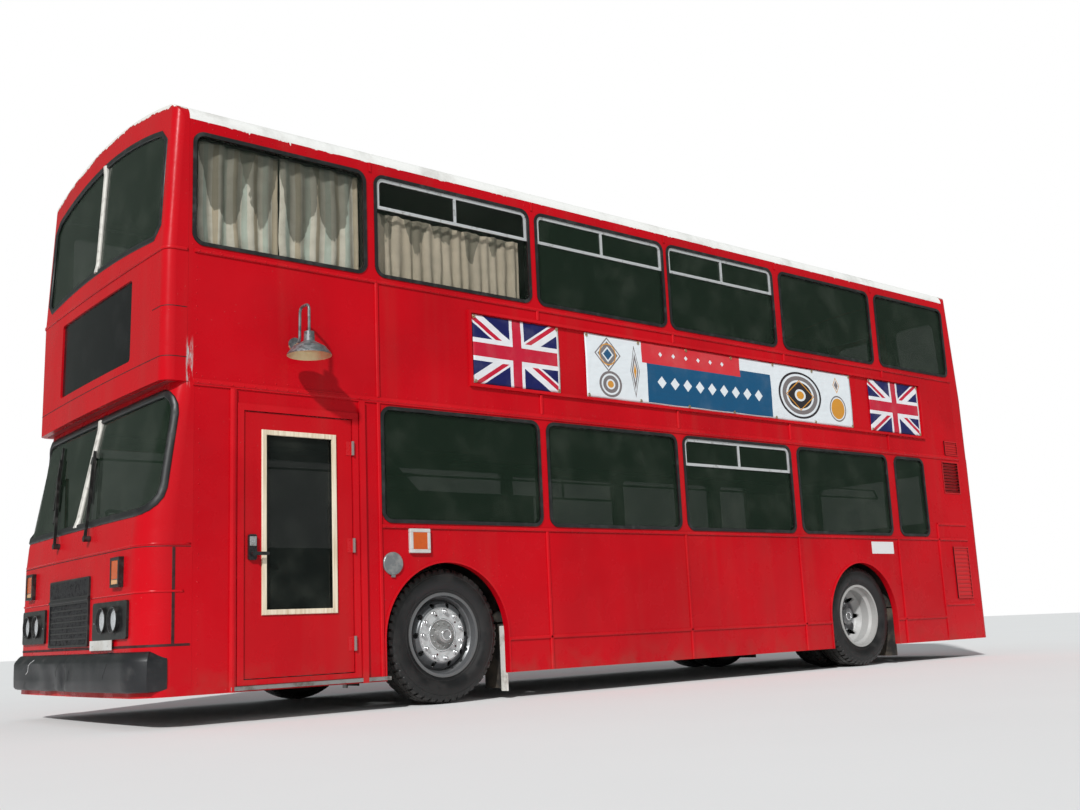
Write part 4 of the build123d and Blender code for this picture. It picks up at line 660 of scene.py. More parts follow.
# %% The tree that repeats a stamp
def repeat_tree():
    """Geometry Nodes: stamps along a path, with named inputs."""
    tree = bpy.data.node_groups.new("stamps_on_a_path", "GeometryNodeTree")
    face = tree.interface
    for label, kind in (("Path", "Geometry"), ("Stamp", "Object"), ("Step", "Float"), ("Turn", "Vector"),
                        ("Wander", "Float"), ("Seed", "Int"), ("Finish", "Material")):
        face.new_socket(name=label, in_out="INPUT", socket_type="NodeSocket" + kind)
    face.new_socket(name="Stamps", in_out="OUTPUT", socket_type="NodeSocketGeometry")
    kinds = {"entry": "NodeGroupInput", "leave": "NodeGroupOutput", "steps": "GeometryNodeResampleCurve",
             "place": "GeometryNodeInstanceOnPoints", "info": "GeometryNodeObjectInfo",
             "turn": "FunctionNodeEulerToRotation", "spin": "GeometryNodeRotateInstances",
             "chance": "FunctionNodeRandomValue", "real": "GeometryNodeRealizeInstances",
             "coat": "GeometryNodeSetMaterial", "less": "ShaderNodeMath", "swing": "ShaderNodeCombineXYZ"}
    nodes = {label: tree.nodes.new(kind) for label, kind in kinds.items()}
    nodes["steps"].mode = "LENGTH"
    nodes["chance"].data_type = "FLOAT"
    nodes["less"].operation = "MULTIPLY"
    nodes["less"].inputs[1].default_value = -1.0
    wires = """entry.Path steps.Curve, entry.Step steps.Length, steps.Curve place.Points,
        entry.Stamp info.Object, info.Geometry place.Instance, entry.Turn turn.0, turn.0 place.Rotation,
        place.Instances spin.Instances, entry.Wander less.0, less.0 chance.2, entry.Wander chance.3,
        entry.Seed chance.Seed, chance.1 swing.Z, swing.0 spin.Rotation, spin.Instances real.Geometry,
        real.Geometry coat.Geometry, entry.Finish coat.Material, coat.Geometry leave.Stamps"""
    for wire in wires.split(","):
        ends = [end.split(".") for end in wire.split()]
        (source, way_out), (target, way_in) = [(nodes[label], int(key) if key.isdigit() else key)
                                               for label, key in ends]
        tree.links.new(source.outputs[way_out], target.inputs[way_in])
    return tree


stamps_on_a_path, wander_seed = repeat_tree(), 3
print("tree inputs", [s.name for s in stamps_on_a_path.interface.items_tree if s.in_out == "INPUT"])

# %% Run the tree on some paths
def stamped(name, paths, stamp, step, finish, body, turn=(0, 0, 0), wander=0.0, smooth=False, closed=False):
    """A plain mesh piece with a stamp at each step along paths, which are lists of points."""
    curve = bpy.data.curves.new(name + "_path", "CURVE")
    curve.dimensions = "3D"
    for path in paths:
        spline = curve.splines.new("POLY")
        spline.points.add(len(path) - 1)
        spline.use_cyclic_u = closed
        for point, place in zip(spline.points, path):
            point.co = (*place, 1)
    stamp_mesh = bpy.data.meshes.new(name + "_stamp")
    stamp_mesh.from_pydata([tuple(p) for p in stamp[0]], [], stamp[1])
    stamp_mesh.validate()
    walker = bpy.data.objects.new(name + "_path", curve)
    stamp_object = bpy.data.objects.new(name + "_stamp", stamp_mesh)
    for helper in (walker, stamp_object):
        bpy.context.scene.collection.objects.link(helper)
    modifier = walker.modifiers.new("stamps", "NODES")
    modifier.node_group = stamps_on_a_path
    values = {"Stamp": stamp_object, "Step": step, "Turn": turn, "Wander": wander, "Seed": wander_seed,
              "Finish": finishes[finish]}
    for socket in stamps_on_a_path.interface.items_tree:
        if socket.in_out == "INPUT" and socket.name in values:
            modifier[socket.identifier] = values[socket.name]
    bpy.context.view_layer.update()
    ready = walker.evaluated_get(bpy.context.evaluated_depsgraph_get())
    mesh = bpy.data.meshes.new_from_object(ready)
    mesh.name = name
    if smooth:
        mesh.shade_smooth()
    walker.modifiers.clear()
    for helper in (walker, stamp_object):
        bpy.data.objects.remove(helper)
    piece = bpy.data.objects.new(name, mesh)
    bpy.context.scene.collection.objects.link(piece)
    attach(piece, body)


def dome(radius, height, sides=8):
    """A rivet's low round head, closed below, rising along +Z."""
    return spun([(radius, -height * 0.4), (radius, 0.0), (radius * 0.8, height * 0.65),
                 (radius * 0.35, height)], sides)


print("stamps ready")

# %% [markdown]
# ### Rivets
# The panels are held by rivets along every moulding and round the wheel arches. They show as rows of
# small dots under the paint.

# %% Rivets on both sides
side_y, rail_y = 1.250, 1.2633
both_sides = (("near", 1), ("far", -1))


def side_rivets(name, lines, y, stamp, step):
    """Rivets on both sides, along lines of (x, z) points."""
    for side_name, sign in both_sides:
        paths = [[(x, sign * y, z) for x, z in line] for line in lines]
        stamped(f"{name}_{side_name}", paths, stamp, step, "red_on_trim", "body",
                turn=(-math.pi / 2 * sign, 0, 0), wander=0.3, smooth=True)


mouldings = [[(fore_x, z), (-4.48, z)] for fore_x, z in ((4.33, 2.143), (2.95, 1.247), (4.33, 3.019))]
side_rivets("rivets_on_mouldings", mouldings, rail_y, dome(0.0055, 0.0032), 0.078)

# %% [markdown]
# ## Banners
# Three printed cloths are pulled tight in a red frame along the side: a national flag at each end and
# a long banner between them. Each is a grid of points with soft creases, so it is cloth and not a
# board. The print is drawn by nodes on the cloth's own UV map, so it bends with the creases.

# %% The stretched cloths
cloth_y, cloth_low_z, cloth_height = 1.2565, 2.350, 0.545


def cloth_sheet(name, finish, columns, rows, place):
    """A thin cloth whose points are place(u, v), with u and v kept as its UV map."""
    flat = [(column / columns, row / rows) for row in range(rows + 1) for column in range(columns + 1)]
    starts = [row * (columns + 1) + column for row in range(rows) for column in range(columns)]
    faces = [(start, start + columns + 1, start + columns + 2, start + 1) for start in starts]
    piece = new_piece(name, [place(u, v) for u, v in flat], faces, finish, "body", smooth=True)
    layer = piece.data.uv_layers.new(name="cloth")
    for loop in piece.data.loops:
        layer.data[loop.index].uv = flat[loop.vertex_index]
    thick = piece.modifiers.new("cloth", "SOLIDIFY")
    thick.thickness, thick.offset = 0.0012, 0.0
    return piece


def stretched_cloth(name, fore_x, aft_x, finish, seed, crease):
    """A cloth pulled tight in its frame, with creases that die down towards its edges."""
    width, cell = fore_x - aft_x, 0.022

    def place(u, v):
        x, z = fore_x - u * width, cloth_low_z + v * cloth_height
        held = min(1.0, min(u * width, (1 - u) * width, v * cloth_height, (1 - v) * cloth_height) / 0.05)
        slack = noise.noise(Vector((x * 3.2 + seed, z * 6.5, seed * 1.7)))
        fine = noise.noise(Vector((x * 16 + z * 9, z * 14 - x * 5, seed)))
        sag = 0.004 * math.sin(math.pi * v) ** 2
        pull = 0.004 * math.sin(u * 7 * math.pi) ** 2 * (1 if v < 0.5 else -1)
        at_edge = 1 if v in (0.0, 1.0) else 0.5 * (abs(v - 0.5) * 2) ** 4
        return x, cloth_y + sag + crease * (0.35 + 0.65 * held) * (slack + 0.55 * fine), z + pull * at_edge

    return cloth_sheet(name, finish, int(width / cell), int(cloth_height / cell), place)


def cloth_finish(name, rough=0.55):
    """A cloth with weave, and its U and V ready for a print."""
    cloth = Finish(name, (0.8, 0.8, 0.8), rough)
    uv = cloth.add("UVMap", "UV")
    uv.socket.node.uv_map = "cloth"
    woven = cloth.relief(cloth.grain(900.0, 1), 0.12, 0.0006)
    cloth.relief(cloth.grain(6.0, 3, 0.5, along=(1, 1, 3)), 0.5, 0.012, under=woven)
    cloth.set(Sheen_Weight=0.04, Specular_IOR_Level=0.22)
    return cloth, cloth.axis("X", uv), cloth.axis("Y", uv)

# %% [markdown]
# ### The flag
# The flag is a common pattern with fixed proportions: 60 by 30, a white and a red diagonal cross, and
# a white-edged red cross on top. Distances to the lines are worked out from U and V, and each
# comparison is a mask. The red of the diagonals lies to one side, and swaps sides at the middle.

# %% Print the flag
def flag_finish():
    """The flag, worked out from the cloth's U and V."""
    cloth, u, v = cloth_finish("flag_cloth")
    x, y = (u - 0.5) * 60.0, (v - 0.5) * 30.0
    rising, falling = x * 0.4472 - y * 0.8944, x * 0.4472 + y * 0.8944
    navy, white, red = (0.005, 0.008, 0.085), (0.68, 0.68, 0.70), (0.47, 0.006, 0.030)
    white_diagonal = rising.between(-3, 3) | falling.between(-3, 3)
    red_diagonal = (rising * x.sign()).between(-2, 0) | (falling * x.sign()).between(0, 2)
    white_cross = x.between(-5, 5) | y.between(-5, 5)
    red_cross = x.between(-3, 3) | y.between(-3, 3)
    soil = cloth.grain(5.0, 5).window(0.45, 0.8) * 0.10
    colour = navy
    for mask, tint in ((white_diagonal, white), (red_diagonal, red), (white_cross, white), (red_cross, red),
                       (u > 0.975, (0.76, 0.75, 0.73)), (soil, (0.42, 0.40, 0.37))):
        colour = cloth.blend(mask, colour, tint)
    cloth.set(Base_Color=colour)


flag_finish()

# %% [markdown]
# ### The long banner
# The long cloth is white with a blue block, a red strip and an ornament at each end. The ornaments
# are plain drawn shapes, rings and lozenges, and nothing on it can be read.

# %% Print the long banner
def banner_finish(length):
    """White cloth with a blue block, a red strip and ornaments of rings and lozenges."""
    cloth, u, v = cloth_finish("banner_cloth", 0.45)
    x, y = u * length, v * cloth_height
    blue, red, gold = (0.004, 0.072, 0.165), (0.56, 0.024, 0.034), (0.56, 0.25, 0.03)
    grey, ink, paper = (0.17, 0.15, 0.15), (0.022, 0.018, 0.022), (0.66, 0.70, 0.72)
    colour = cloth.blend(x.between(0.705, 2.35) * y.between(0.014, 0.425), paper, blue)
    colour = cloth.blend(x.between(0.65, 1.92) * y.between(0.36, 0.6), colour, red)
    shapes = [
        (0.25, 0.385, 1.0, True, [(0.0, 0.05, blue), (0.07, 0.115, grey), (0.135, 0.15, grey)]),
        (0.25, 0.385, 1.0, False, [(0.085, 0.095, gold)]),
        (0.27, 0.130, 1.15, False, [(0.0, 0.03, gold), (0.045, 0.075, grey), (0.092, 0.112, grey)]),
        (0.56, 0.270, 0.24, True, [(0.0, 0.07, gold), (0.10, 0.16, grey), (0.20, 0.23, grey)]),
        (2.78, 0.265, 1.40, False, [(0.0, 0.04, gold), (0.06, 0.13, ink), (0.15, 0.19, grey),
                                    (0.212, 0.232, ink)]),
        (2.78, 0.265, 1.40, True, [(0.140, 0.152, gold)]),
        (3.37, 0.180, 1.0, False, [(0.0, 0.105, gold), (0.118, 0.132, grey)]),
        (3.37, 0.420, 0.6, True, [(0.0, 0.05, grey), (0.07, 0.085, gold)]),
    ]
    for centre_x, centre_y, wide, lozenge, rings in shapes:
        along, up = abs(x - centre_x) / wide, abs(y - centre_y)
        distance = along + up if lozenge else (along * along + up * up).root()
        for inner, outer, tint in rings:
            colour = cloth.blend(distance.between(inner - 0.001, outer), colour, tint)
    for centre_y, left, right, reach in ((0.455, 0.80, 1.76, 0.022), (0.205, 0.80, 2.24, 0.055)):
        mark = abs(x % 0.16 - 0.08) + abs(y - centre_y) < reach
        colour = cloth.blend(mark * (x.between(left, right) * y.between(0, cloth_height)), colour, paper)
    soil = cloth.grain(3.0, 5).window(0.5, 0.85) * 0.10
    cloth.set(Base_Color=cloth.blend(soil, colour, (0.45, 0.44, 0.41)))


banner_finish(length=3.603)

# %% Hang the three cloths
cloths = {"banner_fore_flag": (2.140, 1.274, "flag_cloth", 2.0, 0.006),
          "banner_long": (0.987, -2.616, "banner_cloth", 5.0, 0.0035),
          "banner_aft_flag": (-2.923, -3.815, "flag_cloth", 9.0, 0.005)}
for name, (fore_x, aft_x, *look) in cloths.items():
    cloth_piece = stretched_cloth(name, fore_x, aft_x, *look)
    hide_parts("banner_cloths")
print("cloths", list(cloths))

# %% [markdown]
# ## Curtains
# The first two windows upstairs have curtains. A gathered curtain is a flat cloth pushed together along
# its rail, so it stands in folds that are tight at the top and open out below. Each fold is a swing
# of the cloth in and out, and its stripes follow the cloth, through its UV map.

# %% Gathered curtains
def gathered_curtain(name, fore_x, aft_x, high_z, folds, depth, finish, seed, lean=0.0):
    """A curtain in folds, hung between fore_x and aft_x."""
    columns, rows, low_z = folds * 12, 26, 3.087
    rail_y, inmost_y, outmost_y = 1.180, 1.162, 1.1985
    wander = random.Random(seed)
    phase = [wander.uniform(-0.9, 0.9) for _ in range(folds + 2)]

    def place(u, v):
        fold, share = divmod(u * folds, 1)
        own = phase[int(fold)] * (1 - share) + phase[int(fold) + 1] * share
        slip = 0.020 * (1 - v) * noise.noise(Vector((u * folds, v * 2, seed)))
        slip += lean * v * (1 - v) * math.sin(3 * u)
        swing = math.sin(2 * math.pi * folds * u + own)
        size = depth * (1 - 0.45 * v) * (0.9 + 0.35 * noise.noise(Vector((u * folds * 0.8, v, seed * 3))))
        y = rail_y + size * swing + 0.004 * noise.noise(Vector((u * 9, v * 9, seed)))
        sag = 0.010 * v * (1 - math.cos(2 * math.pi * folds * 0.4 * u + seed)) / 2
        z = low_z + v * (high_z - low_z) + 0.006 * (1 - v) * swing - sag
        return fore_x - u * (fore_x - aft_x) + slip, min(max(y, inmost_y), outmost_y), z

    piece = cloth_sheet(name, finish, columns, rows, place)
    middle = [Vector(place(i / columns, 0.5)) for i in range(columns + 1)]
    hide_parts("curtains")


def striped_cloth(name, stripes, count, swags):
    """Curtain cloth with stripes that repeat count times, and painted shadow of swags at (x, z, half
    width).
    """
    cloth, u, _ = cloth_finish(name, 0.85)
    colour = stripes[0][1]
    for start, tint in stripes[1:]:
        colour = cloth.blend((u * count).fraction() > start, colour, tint)
    colour = cloth.blend(cloth.grain(14.0, 4).window(0.35, 0.75) * 0.35, colour, (0.36, 0.33, 0.25))
    ragged = cloth.grain(7.0, 4, along=(1, 1, 0.45)).window(0.3, 0.7, -0.10, 0.10)
    # Painted shadow: above each U-shaped swag edge the cloth is darkened towards dark brown.
    for middle_x, foot_z, half in swags:
        across = (cloth.axis("X") - middle_x) / half
        above = cloth.axis("Z") - foot_z - across * across * 0.34
        colour = cloth.blend((above + ragged).window(-0.01, 0.02) * 0.72, colour, (0.12, 0.115, 0.085))
    cloth.set(Base_Color=colour)


cream, green, brown = (0.70, 0.66, 0.54), (0.50, 0.56, 0.47), (0.52, 0.44, 0.31)
striped_cloth("curtain_striped", [(0, cream), (0.26, green), (0.50, cream), (0.76, brown)], 4.0,
              ((4.12, 3.30, 0.17), (3.86, 3.36, 0.13), (3.56, 3.24, 0.13), (3.28, 3.30, 0.14)))
striped_cloth("curtain_plain", [(0, (0.52, 0.45, 0.34)), (0.5, (0.50, 0.43, 0.32))], 3.0,
              [(2.84 - 0.26 * i, 3.40 - 0.05 * (i % 2), 0.10 + 0.02 * (i % 3)) for i in range(5)])
gathered_curtain("curtain_1_fore", 4.312, 3.726, 3.826, 5, 0.017, "curtain_striped", 4, 0.05)
gathered_curtain("curtain_1_aft", 3.715, 3.088, 3.826, 5, 0.017, "curtain_striped", 11, -0.05)
gathered_curtain("curtain_2", 2.950, 1.590, 3.585, 15, 0.014, "curtain_plain", 7)

# %% [markdown]
# ## Following the skin
# Beads, seams and wire mesh on the front lie on bowed panels. A ray sent at the CAD surface gives the
# exact point there and the way it faces, and a sweep then follows such points.

# %% Rays at the CAD surface
def skin_of(*names):
    """A search tree over the surfaces of some CAD nodes."""
    parts = []
    for name in names:
        node = cad_nodes[name]
        parts.append(([node.matrix_world @ v.co for v in node.data.vertices],
                      [tuple(polygon.vertices) for polygon in node.data.polygons]))
    return BVHTree.FromPolygons(*several(parts))


front_skin = skin_of("front_lower", "front_upper", "window_glass")
lower_skin, upper_skin = skin_of("front_lower"), skin_of("front_upper")


def touch(skin, start, way, out=0.0):
    """Where a ray meets a skin, moved out by a little, and the way the skin faces there."""
    spot, facing, _, _ = skin.ray_cast(Vector(start), Vector(way))
    if spot is None:
        return None, None
    if facing.dot(Vector(way)) > 0:
        facing = -facing
    return spot + facing * out, facing


def on_face(y, z, out=0.0, skin=front_skin):
    """A point on the front face."""
    return touch(skin, (6, y, z), (-1, 0, 0), out)


def mirrored(spots):
    """The same points on the other side."""
    return [(Vector((p.x, -p.y, p.z)), Vector((n.x, -n.y, n.z))) for p, n in spots]


def round_the_front(z, skin, corner=1.05, aft=4.362, half=None):
    """Points and facings level round the front, from one side to the other, or over one half only."""
    spots = [touch(skin, (aft, 3, z), (0, -1, 0))] if half is None else []
    for step in range(20, 0, -1):
        angle = math.radians(step * 90 / 20.5)
        way = Vector((math.cos(angle), math.sin(angle), 0))
        spots.append(touch(skin, Vector((4.40, corner, z)) + 2 * way, -way))
    count, inner = 16, half or 0.0
    ys = [corner - (corner - inner) * i / count for i in range(count + 1)]
    spots += [on_face(max(y, 0.035), z, 0.0, skin) for y in ys]
    return spots + mirrored(reversed(spots[:-1])) if half is None else spots


print("front face at z 1.0 is x", round(on_face(0.5, 1.0)[0].x, 4))

# %% [markdown]
# ## Windscreens
# Each windscreen is two bowed panes with a pale pillar between them, held by a rubber bead. The bead's
# path is the outline of the opening, dropped on the skin point by point.

# %% Outlines of the two windscreens
def filled(start, end, step=0.035):
    """Equal steps strictly between two points."""
    pieces = max(1, int((end - start).length / step))
    return [start.lerp(end, k / pieces) for k in range(1, pieces)]


def rounded(corners, radius):
    """A closed outline through corners, each eased by a curve of about that radius."""
    outline = []
    for i, corner in enumerate(corners):
        here, back, on = Vector(corner), Vector(corners[i - 1]), Vector(corners[(i + 1) % len(corners)])
        start = here + (back - here).normalized() * min(radius, (back - here).length / 2)
        end = here + (on - here).normalized() * min(radius, (on - here).length / 2)
        if outline:
            outline += filled(outline[-1], start)
        outline += [start * (1 - t) ** 2 + here * (2 * t * (1 - t)) + end * t ** 2
                    for t in (0, 0.2, 0.4, 0.6, 0.8, 1)]
    return outline + filled(outline[-1], outline[0])


def arch_line(half, crown, drop, count=24):
    """Points along a shallow arch, from y = -half to y = half."""
    ys = [-half + 2 * half * i / count for i in range(count + 1)]
    return [(y, crown - drop * (y / 1.15) ** 2) for y in ys]


inset = 0.018
wide, low, high = 1.241 - inset, 1.298 + inset, 2.100 - inset
lower_outline = rounded([(-wide, low), (wide, low), (wide, high), (-wide, high)], 0.15)
wide = 1.150 - inset
upper_outline = [Vector(p) for p in (
    (-wide, 3.19), *arch_line(wide - 0.09, 3.150 + inset, 0.055), (wide, 3.19),
    (wide, 3.79), *reversed(arch_line(wide - 0.09, 4.010 - inset, 0.148)), (-wide, 3.79))]
print("outline points", len(lower_outline), len(upper_outline))

# %% Rubber beads and pillars
def windscreen_bead(name, outline, section):
    """A bead of rubber laid on the front skin along an outline."""
    spots = [on_face(y if abs(y) > 0.035 else math.copysign(0.035, y or 1), z) for y, z in outline]
    new_piece(name, *sweep(spots, section, closed=True), "window_rubber", "body", smooth=True)


windscreen_bead("windscreen_bead_lower", lower_outline, bar(0.050, -0.014, 0.010))
windscreen_bead("windscreen_bead_upper", upper_outline, bar(0.040, -0.014, 0.006))
pillars = []
for low_z, high_z, width in ((1.318, 2.082, 0.060), (3.166, 3.992, 0.048)):
    spots = []
    for i in range(13):
        z = low_z + (high_z - low_z) * i / 12
        spot, facing = on_face(0.05, z, 0.010)
        spots.append((Vector((spot.x + 0.002, 0, z)), Vector((facing.x, 0, facing.z)).normalized()))
    pillars.append(sweep(spots, bar(width, -0.034, 0.006)))
new_piece("windscreen_pillars", *several(pillars), "pillar_white", "body")
print("beads and pillars done")

# %% Seams and ridges round the front
dark_line, fine_ridge = bar(0.006, -0.003, 0.0016), bar(0.014, -0.003, 0.006)
new_piece("front_seams", *several([
    sweep(round_the_front(1.096, lower_skin), dark_line),
    sweep(round_the_front(2.300, upper_skin, corner=1.10, aft=4.406), dark_line),
    sweep(round_the_front(2.630, upper_skin, corner=1.10, half=1.04)[:-6], dark_line)]),
    "seam_dark", "body")
lamp_ridge = round_the_front(0.822, lower_skin, half=0.415)
new_piece("front_ridges", *several([
    sweep(round_the_front(1.112, lower_skin), bar(0.012, -0.003, 0.003)),
    sweep(round_the_front(3.019, upper_skin, corner=1.10, aft=4.406), bar(0.022, -0.003, 0.0075)),
    sweep(lamp_ridge, fine_ridge), sweep(mirrored(lamp_ridge), fine_ridge)]),
    "red_on_trim", "body", smooth=True)
foot_gaps = [sweep(round_the_front(0.497, lower_skin), bar(0.016, -0.004, 0.0022))]
for sign in (1, -1):
    heights = [0.500 + 0.59 * i / 14 for i in range(15)]
    upright = [lower_skin.ray_cast((4.47, sign * 3, z), (0, -sign, 0))[:2] for z in heights]
    foot_gaps.append(sweep(upright, bar(0.020, -0.004, 0.0020)))
new_piece("front_foot_gap", *several(foot_gaps), "seam_dark", "body")
print("front seams done")

# %% [markdown]
# ## Wire mesh, lamps and the plate
# The grille's wire mesh is two families of slanting wires, each cut where it meets the frame. Behind
# each headlamp glass stands a bright bowl. The amber lamps sit in black frames, and the plate below
# the lamp is blank.

# %% Wire mesh in the two grilles
def slanting_wires(low_z, high_z, out):
    """Wires at 45 degrees both ways, cut to a rectangle."""
    y_half, pitch, thick, tall = 0.386, 0.0135, 0.0011, high_z - low_z
    section = [(-thick, -thick), (thick, -thick), (thick, thick), (-thick, thick)]
    wires = []
    for lean in (1, -1):
        for i in range(1, int((2 * y_half + tall) / pitch)):
            start = -y_half - tall + i * pitch
            t0, t1 = max(0.0, -y_half - start), min(tall, y_half - start)
            if t1 - t0 < 0.004:
                continue
            ends = [(lean * (start + t), low_z + t) for t in (t0, t1)]
            ends = [(math.copysign(max(abs(y), 0.001), y), z) for y, z in ends]
            wires.append(sweep([on_face(y, z, out + 0.0006 * lean, lower_skin) for y, z in ends], section))
    return wires


mesh_parts = slanting_wires(0.843, 0.953, 0.0112) + slanting_wires(0.527, 0.797, 0.0050)
new_piece("grille_wire_mesh", *several(mesh_parts), "mesh_dark", "body")
backs = [sweep([on_face(y, z, 0.0014, lower_skin) for y in (-0.384, -0.19, 0.19, 0.384)],
               bar(tall, -0.001, 0.0012)) for z, tall in ((0.898, 0.106), (0.662, 0.27))]
new_piece("grille_backs", *several(backs), "grille_black", "body")
crossbar = [on_face(y, 0.821, 0.0, lower_skin) for y in (-0.402, -0.2, -0.001, 0.2, 0.402)]
new_piece("grille_crossbar", *sweep(crossbar, bar(0.020, -0.002, 0.020)), "grille_black", "body")
print("wires", len(mesh_parts))

# %% Headlamp bowls and rings, and rings round the tail lamps
def lamp_parts(rows, sides, places, way, closed=True):
    """The same spun part at each place, looking forward (way 1) or back (way -1)."""
    points, faces = spun(rows, sides, closed=closed)
    return several([([(x + way * out, y + way * across, z + up) for across, up, out in points], faces)
                    for x, y, z in places])


headlamps = [(4.6402, side * y, 0.668) for side in (1, -1) for y in (0.672, 0.876)]
tail_lamps = [(-4.716, y, z) for y in (-1.060, 1.060) for z in (0.660, 0.800, 0.940)]
bowl_rows = [(0.012, 0.004), (0.030, 0.009), (0.050, 0.019), (0.066, 0.031), (0.0738, 0.0345),
             (0.0738, 0.0335), (0.066, 0.029), (0.050, 0.016), (0.030, 0.005), (0.012, 0.001)]
bulb_rows = [(0.010, 0.002), (0.010, 0.024), (0.006, 0.029)]
ring_rows = [(0.0755, 0.052), (0.0755, 0.0725), (0.0835, 0.0725), (0.0835, 0.070), (0.0775, 0.068),
             (0.0775, 0.052)]
tail_rows = [(0.0582, 0.0), (0.0582, 0.040), (0.0640, 0.043), (0.0690, 0.039), (0.0705, 0.0)]
new_piece("headlamp_bowls", *lamp_parts(bowl_rows, 32, headlamps, 1), "chrome", "body", smooth=True)
new_piece("headlamp_bulbs", *lamp_parts(bulb_rows, 12, headlamps, 1, closed=False), "lamp_clear", "body",
          smooth=True)
new_piece("headlamp_rings", *lamp_parts(ring_rows, 40, headlamps, 1), "satin_black", "body", smooth=True)
new_piece("tail_lamp_rings", *lamp_parts(tail_rows, 40, tail_lamps, -1), "satin_black", "body", smooth=True)
print("headlamps", len(headlamps), "tail rings", len(tail_lamps))

# %% Blank plates, catches, screws and the frames of the amber lamps
def slab_frame(a, z, width, height, border):
    """Four bars round a rectangle, as (a0, a1, z0, z1)."""
    a0, a1, z0, z1 = a - width / 2, a + width / 2, z - height / 2, z + height / 2
    return [(a0, a1, z1 - border, z1), (a0, a1, z0, z0 + border),
            (a0, a0 + border, z0 + border, z1 - border), (a1 - border, a1, z0 + border, z1 - border)]


cover_x = touch(skin_of("engine_cover"), (-6, 0.0, 0.62), (1, 0, 0))[0].x
boxes("rear_plate", [((cover_x - 0.006, -0.26, 0.565), (cover_x + 0.004, 0.26, 0.675))], "plate_white",
      "engine_cover", 0.0015)
boxes("engine_cover_catches", [((cover_x - 0.012, side * 0.62 - 0.035, 0.600),
                                (cover_x + 0.004, side * 0.62 + 0.035, 0.640)) for side in (1, -1)],
      "satin_black", "engine_cover", 0.003)
lamp_y, lamp_z, frames, side_frames = 0.877, 0.960, [], []
face_x = on_face(lamp_y, lamp_z, 0.0, lower_skin)[0].x
for side in (1, -1):
    y = side * lamp_y
    frames += [((face_x - 0.012, y0, z0), (face_x + 0.031, y1, z1))
               for y0, y1, z0, z1 in slab_frame(y, lamp_z, 0.152, 0.188, 0.020)]
    frames.append(((face_x - 0.01, y - 0.058, 0.913), (face_x + 0.0285, y + 0.058, 0.918)))
    low, high = sorted((side * 1.2495, side * 1.2775))
    side_frames += [((x0, low, z0), (x1, high, z1))
                    for x0, x1, z0, z1 in slab_frame(2.671, 1.148, 0.172, 0.172, 0.026)]
boxes("indicator_frames", frames, "satin_black", "body", 0.003)
boxes("side_lamp_frames", side_frames, "plate_white", "body", 0.004)
plate_x = on_face(0.645, 0.51, 0.0, lower_skin)[0].x
boxes("front_plate", [((plate_x + 0.012, 0.45, 0.482), (plate_x + 0.018, 0.84, 0.545))], "plate_white",
      "body", 0.0015)
screws = [((plate_x - 0.004, y, 0.505), (plate_x + 0.0195, y + 0.008, 0.513)) for y in (0.50, 0.77)]
screws += [((4.690, y - 0.004, 0.648), (4.7005, y + 0.004, 0.656)) for y in (0.528, 0.774, -0.528, -0.774)]
boxes("front_screws", screws, "wire_bright", "body")
print("lamp frames", len(frames))

# %% [markdown]
# ## The bumper
# The bumper is a long moulding that has had knocks. A section with a wide bevel on top follows the CAD
# bumper's outer face, and noise pushes it in here and there. It stays within the CAD bumper's outline.

# %% Knocked bumper
bumper_skin, bumper_z = skin_of("front_bumper"), 0.34
bumper_spots = [touch(bumper_skin, (x, 3, bumper_z), (0, -1, 0)) for x in (4.503, 4.53, 4.56)]
for step in range(12, -1, -1):
    way = Vector((math.cos(math.radians(step * 7.0)), math.sin(math.radians(step * 7.0)), 0))
    bumper_spots.append(touch(bumper_skin, Vector((4.56, 1.06, bumper_z)) + 2 * way, -way))
bumper_spots += [on_face(1.04 - 0.02 * i, bumper_z, 0.0, bumper_skin) for i in range(52)]
bumper_spots.append(on_face(0.0, bumper_z, 0.0, bumper_skin))
bumper_spots += mirrored(reversed(bumper_spots[:-1]))
bumper_rows = [(0.223, 0.030), (0.229, 0.014), (0.245, 0.004), (0.300, 0.0015), (0.360, 0.0015),
               (0.405, 0.002), (0.417, 0.005), (0.436, 0.018), (0.455, 0.034), (0.462, 0.043),
               (0.4655, 0.052), (0.4655, 0.059), (0.340, 0.0595), (0.223, 0.059)]
dents = [(-0.62, 0.33, 0.20, 0.030), (-0.18, 0.27, 0.12, 0.022), (0.18, 0.38, 0.10, 0.015),
         (0.05, 0.30, 0.05, 0.018), (0.95, 0.28, 0.16, 0.010)]


def knocked(y, z, depth):
    """How deep a point lies, once dents at (y, z, width, depth), noise and a crease push it in."""
    if depth > 0.055:
        return depth
    push = sum(d * math.exp(-((y - yc) / w) ** 2 - ((z - zc) / 0.11) ** 2) for yc, zc, w, d in dents)
    rough = 0.003 * (noise.noise(Vector((y * 7, z * 9, 1.0))) + 1)
    crease = 0.006 * max(0.0, 1 - abs(y - 0.02 - (z - 0.3) * 0.5) / 0.022)
    return min(0.056, depth + push + rough + crease)


bumper_points = [(*(spot - facing * knocked(spot.y, z, depth)).xy, z) for spot, facing in bumper_spots
                 for z, depth in bumper_rows]
bumper_faces = between_rings(len(bumper_spots), len(bumper_rows), closed=False)
bumper_piece = new_piece("bumper_moulding", bumper_points, bumper_faces, "bumper_grey", "body", smooth=True)
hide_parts("front_bumper")
bumper_piece.data.set_sharp_from_angle(angle=math.radians(35))
print("bumper faces", len(bumper_faces))

# %% Cracks and scratches in the bumper
bumper_shell = BVHTree.FromPolygons([Vector(p) for p in bumper_points], bumper_faces)


